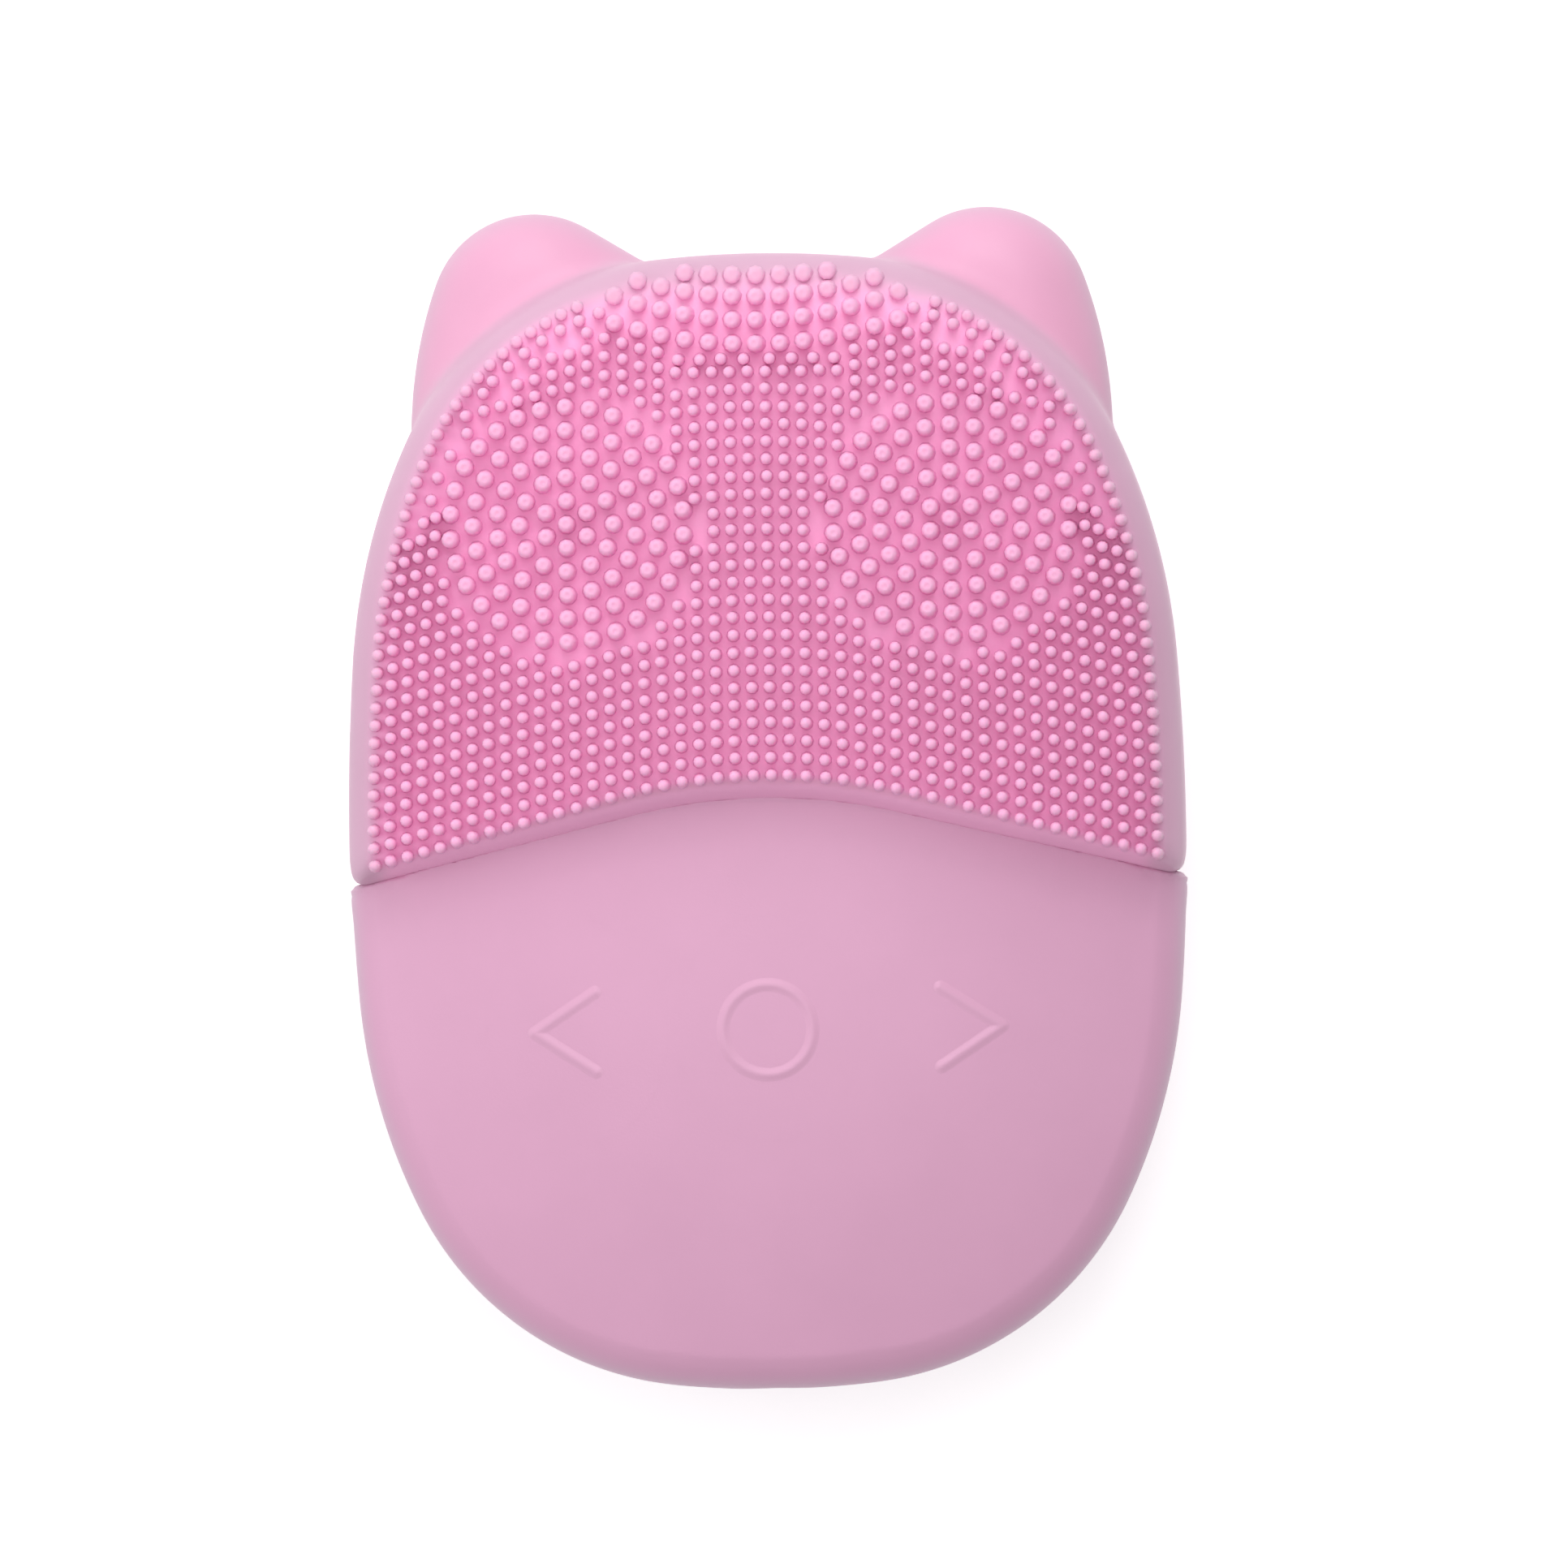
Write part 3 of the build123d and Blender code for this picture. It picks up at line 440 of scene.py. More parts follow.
class Graph:
    """The node tree of one material."""

    def __init__(self, name: str) -> None:
        """Starts an empty material."""
        self.material = bpy.data.materials.new(name)
        self.material.use_nodes = True
        self.tree = self.material.node_tree
        self.tree.nodes.clear()

    def node(self, kind: str, settings: dict[str, Any], sockets: dict[Any, Any]) -> bpy.types.Node:
        """Makes a node.

        Args:
            kind: The node's type.
            settings: Its settings, which are set first; "stops" are a ramp's.
            sockets: A value or a Signal for each named or numbered input.

        Returns:
            The node.
        """
        made = self.tree.nodes.new(kind)
        for key, value in settings.items():
            if key == "stops":
                elements = made.color_ramp.elements
                while len(elements) < len(value):
                    elements.new(0.5)
                for element, (position, colour) in zip(elements, value):
                    element.position = position
                    element.color = (*colour, 1.0)
            else:
                setattr(made, key, value)
        for key, value in sockets.items():
            socket = made.inputs[key]
            if isinstance(value, Signal):
                self.tree.links.new(value.socket, socket)
            elif socket.type == "RGBA" and len(value) == 3:
                socket.default_value = (*value, 1.0)
            else:
                socket.default_value = value
        return made

    def signal(self, kind: str, settings: dict[str, Any], sockets: dict[Any, Any], output: Any = 0) -> Signal:
        """Makes a node and gives one of its outputs."""
        return Signal(self, self.node(kind, settings, sockets).outputs[output])

    def place(self, stretch: tuple[float, float, float] = (1.0, 1.0, 1.0)) -> Signal:
        """The place on the piece in millimetres, stretched along its axes."""
        coordinates = self.signal("ShaderNodeTexCoord", {}, {}, "Object")
        scale = tuple(part / MM for part in stretch)
        return self.signal("ShaderNodeMapping", {"vector_type": "POINT"}, {"Vector": coordinates, "Scale": scale})

    def noise(self, size: float, detail: float = 2.0, place: Optional[Signal] = None) -> Signal:
        """Noise whose grains are about size millimetres."""
        sockets = {"Vector": place or self.place(), "Scale": 1 / size, "Detail": detail, "Roughness": 0.55}
        return self.signal("ShaderNodeTexNoise", {}, sockets, 0)

    def stored(self, name: str) -> Signal:
        """A number that the piece stores for each vertex."""
        return self.signal("ShaderNodeAttribute", {"attribute_name": name}, {}, "Fac")

    def blend(self, share: Any, first: Any, second: Any) -> Signal:
        """A colour between two others."""
        sockets = {"Factor": share, 6: first, 7: second}
        return self.signal("ShaderNodeMix", {"data_type": "RGBA"}, sockets, 2)

    def surface(self, colour: Any, roughness: Any, height: Optional[Signal] = None, relief: float = 0.0,
                **constants: Any) -> bpy.types.Material:
        """Closes the graph with its shader.

        Args:
            colour: Base colour.
            roughness: Roughness.
            height: Relief, 0 to 1, if the surface has any.
            relief: How deep the relief is, in millimetres.
            **constants: Other sockets of the shader, spaces written as underscores.

        Returns:
            The material.
        """
        sockets = {"Base Color": colour, "Roughness": roughness}
        for key, value in constants.items():
            sockets[key.replace("_", " ")] = value
        if height is not None:
            bump = {"Height": height, "Distance": relief * MM, "Strength": 1.0}
            sockets["Normal"] = self.signal("ShaderNodeBump", {}, bump)
        shader = self.signal("ShaderNodeBsdfPrincipled", {}, sockets)
        self.node("ShaderNodeOutputMaterial", {}, {"Surface": shader})
        return self.material


@dataclass(frozen=True)
class Silicone:
    """Soft matt silicone: cloudy colour, a fine satin grain and light that sinks in a little."""

    name: str
    colour: Colour
    roughness: float = 0.44
    cloud: float = 0.04
    cloud_size: float = 9.0
    grain: float = 0.010
    grain_size: float = 0.22
    depth: float = 0.0
    # Painted shade: places that face sideways are blended towards this greyer colour.
    side_shade_colour: Colour = srgb(218, 174, 201)

    def tone(self, graph: Graph) -> Signal:
        """The colour before the clouds are laid over it, greyer on the sides as painted shade."""
        return graph.blend(graph.stored("edge"), self.colour, self.side_shade_colour)

    def material(self) -> bpy.types.Material:
        """Builds the material."""
        graph = Graph(self.name)
        clouds = graph.noise(self.cloud_size, 3.0) - 0.5
        shift = clouds * (2 * self.cloud) + 1.0
        shade = graph.signal("ShaderNodeCombineColor", {}, {0: shift, 1: shift, 2: shift})
        colour = graph.signal("ShaderNodeMix", {"data_type": "RGBA", "blend_type": "MULTIPLY"},
                              {"Factor": 1.0, 6: self.tone(graph), 7: shade}, 2)
        satin = graph.noise(self.grain_size, 2.0)
        roughness = self.roughness + (satin - 0.5) * 0.10 + clouds * 0.06
        return graph.surface(colour, roughness, satin, self.grain, Subsurface_Weight=self.depth,
                             Subsurface_Radius=(1.0, 0.55, 0.7), Subsurface_Scale=0.6 * MM,
                             Specular_IOR_Level=0.42, Sheen_Weight=0.08, Sheen_Roughness=0.5)


@dataclass(frozen=True, kw_only=True)
class HeadSilicone(Silicone):
    """The head's silicone: greyer along the rim with painted grazing sheen, brighter on the step's wall with painted
    bounce light, and between the bristles a brighter pink, partly the pad's own and partly painted light.
    """

    # Painted grazing sheen along the rim.
    rim_colour: Colour
    # Painted bounce light on the step's wall.
    wall_bounce_colour: Colour
    # The pad's own pink, brightened as painted light over the shade between the bristles.
    bed_colour: Colour
    side_shade_share: float = 0.6

    def tone(self, graph: Graph) -> Signal:
        """Head, rim, step and bed colours by the numbers that the skin stores, with painted side shade, sheen and
        light.
        """
        plain = graph.blend(graph.stored("edge") * self.side_shade_share, self.colour, self.side_shade_colour)
        rimmed = graph.blend(graph.stored("rim"), plain, self.rim_colour)
        walled = graph.blend(graph.stored("wall"), rimmed, self.wall_bounce_colour)
        return graph.blend(graph.stored("bed"), walled, self.bed_colour)


@dataclass(frozen=True, kw_only=True)
class BristleSilicone(Silicone):
    """The bristles' silicone: painted light at the foot against the shade between strands, painted sheen along the
    rim.
    """

    # Painted light: lifts the shade low between the strands.
    foot_fill_colour: Colour
    # Painted sheen, matching the rim's grazing sheen.
    rim_colour: Colour
    rim_share: float = 0.85

    def tone(self, graph: Graph) -> Signal:
        """Foot to tip by the rise that each strand stores, with painted light at the foot and painted sheen along
        the rim.
        """
        rise = graph.signal("ShaderNodeValToRGB", {"stops": ((0.0, (0.0,) * 3), (0.55, (0.45,) * 3),
                                                             (0.95, (1.0,) * 3))}, {"Fac": graph.stored("rise")})
        strand = graph.blend(rise, self.foot_fill_colour, self.colour)
        return graph.blend(graph.stored("rim") * self.rim_share, strand, self.rim_colour)


@dataclass(frozen=True)
class Moulded:
    """Moulded plastic, rubber or ceramic: a fine texture from the mould and slight marbling."""

    name: str
    colour: Colour
    roughness: float = 0.5
    grain_size: float = 0.3
    relief: float = 0.006
    marbling: float = 0.08
    coat: float = 0.0
    clear: float = 0.0

    def material(self) -> bpy.types.Material:
        """Builds the material."""
        graph = Graph(self.name)
        marble = graph.noise(4.0, 4.0)
        darker = tuple(part * (1 - 2 * self.marbling) for part in self.colour)
        grain = graph.noise(self.grain_size, 3.0)
        scuffs = graph.noise(1.6, 5.0, graph.place((1.0, 0.25, 1.0)))
        roughness = self.roughness + (grain - 0.5) * 0.12 + (scuffs - 0.5) * 0.10
        return graph.surface(graph.blend(marble, darker, self.colour), roughness, grain, self.relief,
                             Coat_Weight=self.coat, Coat_Roughness=0.2, Transmission_Weight=self.clear)


@dataclass(frozen=True)
class Metal:
    """Metal with drawn or turned lines and faint tarnish."""

    name: str
    colour: Colour
    roughness: float = 0.3
    lines: tuple[float, float, float] = (0.08, 4.0, 4.0)
    tarnish: float = 0.15

    def material(self) -> bpy.types.Material:
        """Builds the material."""
        graph = Graph(self.name)
        drawn = graph.noise(1.0, 2.0, graph.place(self.lines))
        spots = graph.noise(2.2, 5.0)
        # Real tarnish: the darker colour of the spots.
        tarnish_and_crease_shade = tuple(part * (1 - self.tarnish) for part in self.colour)
        roughness = self.roughness + (drawn - 0.5) * 0.2 + (spots - 0.5) * 0.15
        return graph.surface(graph.blend(spots, tarnish_and_crease_shade, self.colour), roughness, drawn, 0.004, Metallic=1.0)


@dataclass(frozen=True)
class SolderMask:
    """A board's solder mask, with tracks showing through it as a paler tone."""

    name: str
    colour: Colour
    track_colour: Colour

    def material(self) -> bpy.types.Material:
        """Builds the material."""
        graph = Graph(self.name)
        wander = {"Vector": graph.place((0.8, 0.5, 0.8)), "Scale": 0.45, "Randomness": 0.35}
        cells = graph.signal("ShaderNodeTexVoronoi", {"distance": "MANHATTAN"}, wander, "Distance")
        tracks = graph.signal("ShaderNodeValToRGB", {"stops": ((0.44, (0.0,) * 3), (0.47, (1.0,) * 3),
                                                               (0.53, (1.0,) * 3), (0.56, (0.0,) * 3))},
                              {"Fac": cells})
        weave = graph.noise(0.5, 2.0)
        return graph.surface(graph.blend(tracks, self.colour, self.track_colour), 0.3 + weave * 0.12,
                             tracks, 0.02, Coat_Weight=0.3, Coat_Roughness=0.15)


@dataclass(frozen=True)
class Foam:
    """Closed-cell foam: small round cells."""

    name: str
    colour: Colour

    def material(self) -> bpy.types.Material:
        """Builds the material."""
        graph = Graph(self.name)
        cells = graph.signal("ShaderNodeTexVoronoi", {"feature": "SMOOTH_F1"},
                             {"Vector": graph.place(), "Scale": 2.6, "Smoothness": 0.3}, "Distance")
        # Painted shade: the cells' hollows are darker than their raised walls.
        pale = tuple(min(part * 1.9, 1.0) for part in self.colour)
        return graph.surface(graph.blend(cells, self.colour, pale), 0.82 + cells * 0.1, cells, 0.08)


@dataclass(frozen=True)
class Winding:
    """Enamelled copper wire laid in close turns."""

    name: str
    colour: Colour

    def material(self) -> bpy.types.Material:
        """Builds the material."""
        graph = Graph(self.name)
        turns = graph.signal("ShaderNodeTexWave", {"bands_direction": "DIAGONAL"},
                             {"Vector": graph.place(), "Scale": 1.3, "Distortion": 0.6, "Detail": 1.0}, "Fac")
        # Painted shade: the grooves between the turns are darker.
        groove_shade = tuple(part * 0.35 for part in self.colour)
        return graph.surface(graph.blend(turns, groove_shade, self.colour), 0.35 - turns * 0.1, turns, 0.06,
                             Metallic=0.9, Coat_Weight=0.4, Coat_Roughness=0.2)


@dataclass(frozen=True)
class Foil:
    """A pouch cell's laminated foil, with soft creases."""

    name: str
    colour: Colour

    def material(self) -> bpy.types.Material:
        """Builds the material."""
        graph = Graph(self.name)
        creases = graph.noise(3.5, 6.0, graph.place((1.0, 0.4, 1.0)))
        # Painted shade: the low parts of the creases are darker.
        tarnish_and_crease_shade = tuple(part * 0.86 for part in self.colour)
        return graph.surface(graph.blend(creases, tarnish_and_crease_shade, self.colour), 0.3 + creases * 0.15, creases, 0.09,
                             Metallic=0.85)


SKIN = Silicone("handle silicone", srgb(226, 170, 202))
MARK = Silicone("key mark silicone", srgb(228, 173, 204))
# The head's base colour is the handle's silicone painted lighter as painted light. Its rim colour is painted sheen,
# its wall colour painted bounce light, and its bed colour partly painted light.
HEAD = HeadSilicone("head silicone", srgb(237, 173, 205), rim_colour=srgb(218, 173, 199),
                    wall_bounce_colour=srgb(255, 186, 225), bed_colour=srgb(255, 186, 227))
# The bristles' foot colour is painted light and their rim colour is painted sheen.
BRISTLE = BristleSilicone("bristle silicone", srgb(255, 185, 222), foot_fill_colour=srgb(255, 187, 227),
                          rim_colour=srgb(238, 187, 215), roughness=0.5, cloud=0.03, grain=0.004, depth=0.4)

SLOT_FINISHES = {
    "body_silicone": SKIN,
    "bristle_silicone": BRISTLE,
    "shell_plastic": Moulded("shell plastic", (0.74, 0.72, 0.69), 0.52),
    "stem_plastic": Moulded("stem nylon", (0.64, 0.60, 0.54), 0.45, grain_size=0.2),
    "seal_rubber": Moulded("seal rubber", (0.52, 0.51, 0.48), 0.72, marbling=0.05),
    "screw_steel": Metal("zinc plated steel", (0.62, 0.62, 0.64), 0.32, (3.0, 3.0, 0.2)),
    "socket_plastic": Moulded("socket nylon", (0.012, 0.012, 0.014), 0.42, grain_size=0.15),
    "board_laminate": SolderMask("solder mask", (0.008, 0.085, 0.030), (0.02, 0.17, 0.06)),
    "chip_plastic": Moulded("chip epoxy", (0.010, 0.010, 0.012), 0.6, grain_size=0.12, relief=0.01),
    "led_lens": Moulded("light's lens", (0.90, 0.86, 0.62), 0.2, coat=0.8, clear=0.3),
    "component_ceramic": Moulded("ceramic", (0.30, 0.20, 0.12), 0.5, grain_size=0.1),
    "connector_plastic": Moulded("connector nylon", (0.83, 0.80, 0.70), 0.42),
    "cell_pouch": Foil("pouch foil", (0.62, 0.63, 0.65)),
    "foam": Foam("closed-cell foam", (0.022, 0.022, 0.025)),
    "red_lead": Moulded("lead's sleeve", (0.48, 0.012, 0.010), 0.4, grain_size=0.2, coat=0.2),
    "motor_steel": Metal("motor steel", (0.60, 0.61, 0.63), 0.28, (0.15, 4.0, 4.0)),
    "motor_plastic": Moulded("end cap nylon", (0.72, 0.70, 0.64), 0.5),
    "bush_brass": Metal("sintered brass", (0.66, 0.45, 0.20), 0.4, (2.0, 2.0, 2.0)),
    "magnet_ferrite": Moulded("ferrite", (0.045, 0.045, 0.050), 0.55, grain_size=0.15, relief=0.02),
    "contact_copper": Metal("contact copper", (0.80, 0.40, 0.24), 0.3, (0.3, 3.0, 3.0)),
    "winding_copper": Winding("copper winding", (0.75, 0.30, 0.14)),
    "weight_tungsten": Metal("tungsten alloy", (0.36, 0.36, 0.38), 0.42, (1.0, 3.0, 3.0), 0.25),
}


def dress(piece: bpy.types.Object, finish: Any, body: str, slot: str, *nodes: str) -> bpy.types.Object:
    """Gives a finished piece its material and its place in the frame.

    Args:
        piece: The piece.
        finish: Its finish.
        body: The body it rides on.
        slot: The record's material slot; not used.
        *nodes: The CAD nodes it stands for.

    Returns:
        The piece.
    """
    piece.data.materials.clear()
    piece.data.materials.append(finish.material())
    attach(piece, body)
    if nodes:
        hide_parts(*nodes)
    LOG.info("%s: %d triangles on %s", piece.name, Bench.triangles(piece), body)
    return piece


# ---------------------------------------------------------------------------------------- skins
@dataclass
class Skin:
    """What the two silicone skins share: an even mesh from the CAD solid, settled and smoothed.

    The hidden side, which lies on the hard shells, keeps the solid's place. A band is where a smooth step
    starts and ends.
    """

    frame: dict[str, Any]
    voxel: float = 0.40
    shell_reach: float = 0.30
    crown_reach: float = 0.08
    crown_hold: float = 0.4
    crown_facing: float = 0.8
    crisp_share: float = 0.6
    groove_half: float = 0.55
    groove_keep: float = 1.2
    groove_fade: float = 2.0
    side_shade_up: Band = (0.15, 0.80)
    side_shade_down: Band = (-0.7, -0.3)
    thin_share: float = 0.62

    def remesh(self, piece: bpy.types.Object) -> None:
        """Turns a piece into one even closed mesh."""
        Bench.modify(piece, "REMESH", mode="VOXEL", voxel_size=self.voxel * MM, use_smooth_shade=True)

    def hidden(self, piece: bpy.types.Object) -> np.ndarray:
        """Which vertices lie on the hard shells."""
        trees = []
        for node in ("front_shell", "rear_shell"):
            mesh = self.frame["nodes"][node].data
            corners = [vertex.co.copy() for vertex in mesh.vertices]
            trees.append(BVHTree.FromPolygons(corners, [tuple(face.vertices) for face in mesh.polygons]))
        reach = self.shell_reach * MM
        return np.array([any(tree.find_nearest(vertex.co, reach)[0] is not None for tree in trees)
                         for vertex in piece.data.vertices])

    def settle(self, piece: bpy.types.Object, crown: Crown) -> None:
        """Draws the vertices that lie near a crown onto it, so that the front has no flats."""
        points, normals = Bench.points(piece), Bench.normals(piece)
        for index in np.flatnonzero(normals[:, 2] > self.crown_facing):
            x, y, z = points[index]
            gap = crown.height(x, y) - z
            points[index, 2] += gap * (1 - ramp(abs(gap), self.crown_hold * self.crown_reach, self.crown_reach))
        Bench.place(piece, points)

    def slide(self, piece: bpy.types.Object, shift: Callable[[float, float, float], float]) -> None:
        """Moves vertices square to the step.

        Args:
            piece: The piece.
            shift: How far a place moves towards the head, in millimetres.
        """
        points = Bench.points(piece)
        turn = math.radians(STEP.flank_angle)
        for index, (x, y, z) in enumerate(points):
            move = shift(x, y, z)
            points[index, 0] += move * math.sin(turn) * min(max(x / (STEP.radius * math.sin(turn)), -1.0), 1.0)
            points[index, 1] += move * math.cos(turn)
        Bench.place(piece, points)

    def relax(self, piece: bpy.types.Object, hidden: np.ndarray, crisp: Sequence[float]) -> None:
        """Smooths the visible side, most where nothing crisp is near.

        Args:
            piece: The piece.
            hidden: Which vertices lie on the hard shells.
            crisp: How crisp each vertex stays, 0 to 1.
        """
        visible = [0.0 if covered else 1 - self.crisp_share * kept for covered, kept in zip(hidden, crisp)]
        Bench.modify(piece, "SMOOTH", factor=0.5, iterations=4,
                     vertex_group=Bench.group(piece, "visible", visible))
        far = self.groove_keep + self.groove_fade
        broad = [0.0 if covered else (1 - kept) * ramp(abs(STEP.distance(x, y) + self.groove_half),
                                                       self.groove_keep, far)
                 for (x, y, _), covered, kept in zip(Bench.points(piece), hidden, crisp)]
        Bench.modify(piece, "SMOOTH", factor=0.5, iterations=16,
                     vertex_group=Bench.group(piece, "broad", broad))

    def paint_side_shade(self, piece: bpy.types.Object) -> None:
        """Stores how far each place faces sideways, for the painted shade that greys the sides."""
        upward = Bench.normals(piece)[:, 2]
        Bench.mark(piece, "edge", [(1 - ramp(rise, *self.side_shade_up)) * ramp(rise, *self.side_shade_down)
                                   for rise in upward])

    def thin(self, piece: bpy.types.Object, hidden: np.ndarray) -> None:
        """Thins the mesh of the hidden side, to thin_share of the whole."""
        Bench.modify(piece, "DECIMATE", ratio=self.thin_share,
                     vertex_group=Bench.group(piece, "covered", np.where(hidden, 1.0, 0.0)))


@dataclass
class HeadSkin(Skin):
    """The head's silicone with its ears and its raised slab."""

    root_low_y: float = 26.0
    root_near_x: float = 7.0
    root_depth: float = 1.5
    root_fold: float = 12.0
    root_step: float = 0.3
    root_blend: Band = (0.5, 1.7)
    root_crisp: Band = (0.8, 2.6)
    root_front: Band = (13.0, 16.5)
    slant: float = 0.40
    slant_top: float = 2.7
    slant_low: float = 1.2
    slant_fade: float = 2.6
    slant_inset: Band = (0.2, 2.2)
    foot_run: float = 0.35
    foot_fade: Band = (0.7, 2.6)
    strand_foot: float = 0.25
    front_band: Band = (12.0, 18.0)
    wall_fade: Band = (1.2, 1.6)
    wall_inset: Band = (1.5, 4.0)
    rim_start: Band = (-0.6, 0.4)
    rim_fade: Band = (2.4, 3.6)
    rim_width: float = 1.7
    bed_spread: Band = (0.6, 1.2)
    bed_rise: Band = (0.2, 0.9)
    bed_pale: Band = (36.0, 42.0)
    bed_pale_share: float = 0.55
    bed_row: Arch = Arch(apex_y=1.1, radius=46.0, flank_angle=15.1)

    def shave(self, piece: bpy.types.Object) -> None:
        """Takes the CAD strands off the slice that they grow from."""
        def on_strand(face: bmesh.types.BMFace) -> bool:
            """Whether a face stands above the slab."""
            x, y, z = face.calc_center_median() / MM
            return z > SLAB.height(x, y) + self.strand_foot
        Bench.pick_faces(piece, on_strand)
        bpy.ops.mesh.delete(type="FACE")
        bpy.ops.mesh.select_all(action="SELECT")
        bpy.ops.mesh.fill_holes(sides=0)
        Bench.close()

    def roots(self, piece: bpy.types.Object) -> KDTree:
        """Finds the inner corners where the ears grow out of the head.

        Args:
            piece: The merged copy of the CAD head.

        Returns:
            Points along those corners.
        """
        shape = bmesh.new()
        shape.from_mesh(piece.data)
        found = []
        for edge in shape.edges:
            middle = (edge.verts[0].co + edge.verts[1].co) / 2 / MM
            if middle.y < self.root_low_y or len(edge.link_faces) != 2 or abs(middle.x) < self.root_near_x:
                continue
            if OUTLINE.depth(middle.x, middle.y, OUTLINE.arcs(0)) > self.root_depth:
                continue
            if edge.calc_face_angle_signed(0.0) < math.radians(-self.root_fold):
                steps = max(int(edge.calc_length() / MM / self.root_step), 1)
                found += [edge.verts[0].co.lerp(edge.verts[1].co, step / steps) for step in range(steps + 1)]
        shape.free()
        tree = KDTree(max(len(found), 1))
        for index, point in enumerate(found):
            tree.insert(point, index)
        tree.balance()
        LOG.info("ear roots: %d points", len(found))
        return tree

    def build(self) -> bpy.types.Object:
        """Builds and dresses the head's skin."""
        piece = Bench.node_copy(self.frame, "head_cover", "head_skin")
        roots = self.roots(piece)
        slab = Bench.node_copy(self.frame, "bristle_pad", "slab_slice")
        self.shave(slab)
        Bench.join(piece, slab)
        self.remesh(piece)
        hidden = self.hidden(piece)
        self.settle(piece, SLAB)
        crisp, weights = [], []
        for vertex, covered in zip(piece.data.vertices, hidden):
            near = (roots.find(vertex.co)[2] or 0.0) / MM
            front = ramp(vertex.co.z / MM, *self.root_front)
            crisp.append((1 - front) * (1 - ramp(near, *self.root_crisp)))
            weights.append(0.0 if covered else front * (1 - ramp(near, *self.root_blend)))
        self.relax(piece, hidden, crisp)
        Bench.modify(piece, "SMOOTH", factor=0.5, iterations=36,
                     vertex_group=Bench.group(piece, "roots", weights))
        self.lean_step(piece)
        self.thin(piece, hidden)
        self.tint(piece)
        self.paint_side_shade(piece)
        piece.vertex_groups.clear()
        Bench.smooth(piece)
        return dress(piece, HEAD, "housing", "body_silicone", "head_cover")

    def lean_step(self, piece: bpy.types.Object) -> None:
        """Narrows the groove and leans the slab's lower wall back, so that it shows from above."""
        arcs = OUTLINE.arcs(0)

        def shift(x: float, y: float, z: float) -> float:
            """How far a place moves towards the head."""
            above = STEP.distance(x, y)
            if above > self.slant_low + self.slant_fade:
                return 0.0
            rise = min(max(z - PANEL.height(x, y), 0.0), self.slant_top)
            share = ((1 - ramp(above, self.slant_low, self.slant_low + self.slant_fade))
                     * ramp(OUTLINE.depth(x, y, arcs), *self.slant_inset))
            return self.slant * rise * share - self.foot_run * (1 - ramp(above, *self.foot_fade))
        self.slide(piece, shift)

    def tint(self, piece: bpy.types.Object) -> None:
        """Stores where the rim, the step's wall and the bed are, for the painted sheen, painted bounce light and bed
        colour.
        """
        rim, wall, bed = [], [], []
        arcs = OUTLINE.arcs(0)
        for x, y, z in Bench.points(piece):
            inside = OUTLINE.depth(x, y, arcs)
            front = ramp(z, *self.front_band)
            wall.append(front * (1 - ramp(STEP.distance(x, y), *self.wall_fade)) * ramp(inside, *self.wall_inset))
            bed.append(front * ramp(inside, self.rim_width - self.bed_spread[0], self.rim_width + self.bed_spread[1])
                       * ramp(y - self.bed_row.height(x), *self.bed_rise)
                       * (1 - self.bed_pale_share * ramp(y, *self.bed_pale)))
            rim.append(front * ramp(inside, *self.rim_start) * (1 - ramp(inside, *self.rim_fade)))
        Bench.mark(piece, "rim", rim)
        Bench.mark(piece, "wall", wall)
        Bench.mark(piece, "bed", bed)


@dataclass(frozen=True)
class KeyPlace:
    """One key of the panel: the plane its membrane is cut by and the sheet above that plane."""

    name: str
    x: float
    y: float = -17.9
    dip: float = 0.35
    sheet_steps: int = 6
    edge_steps: int = 26
    edge_search: Band = (1.0, 14.0)

    @property
    def normal(self) -> Vector:
        """The panel's normal at the key's middle."""
        return PANEL.normal(self.x, self.y)

    @property
    def middle(self) -> Vector:
        """The plane's point under the key's middle."""
        return Vector((self.x, self.y, PANEL.height(self.x, self.y))) - self.normal * self.dip

    def axes(self) -> tuple[Vector, Vector]:
        """Two directions in the plane, across and along."""
        along = self.normal.cross(Vector((1, 0, 0))).normalized()
        return along.cross(self.normal), along

    def sheet_point(self, reach: float, turn: float) -> tuple[Vector, float]:
        """A point of the panel over the plane.

        Args:
            reach: Distance from the key's middle in the plane.
            turn: Direction in the plane, in radians.

        Returns:
            The point and its height over the plane.
        """
        across, along = self.axes()
        normal = self.normal
        base = self.middle + across * (reach * math.cos(turn)) + along * (reach * math.sin(turn))
        height = self.dip
        for _ in range(self.sheet_steps):
            point = base + normal * height
            height -= (point.z - PANEL.height(point.x, point.y)) * normal.z
        return base + normal * height, height

    def edge_reach(self, turn: float) -> float:
        """How far from the middle the panel dives through the plane."""
        low, high = self.edge_search
        for _ in range(self.edge_steps):
            middle = (low + high) / 2
            if self.sheet_point(middle, turn)[1] > 0:
                low = middle
            else:
                high = middle
        return low


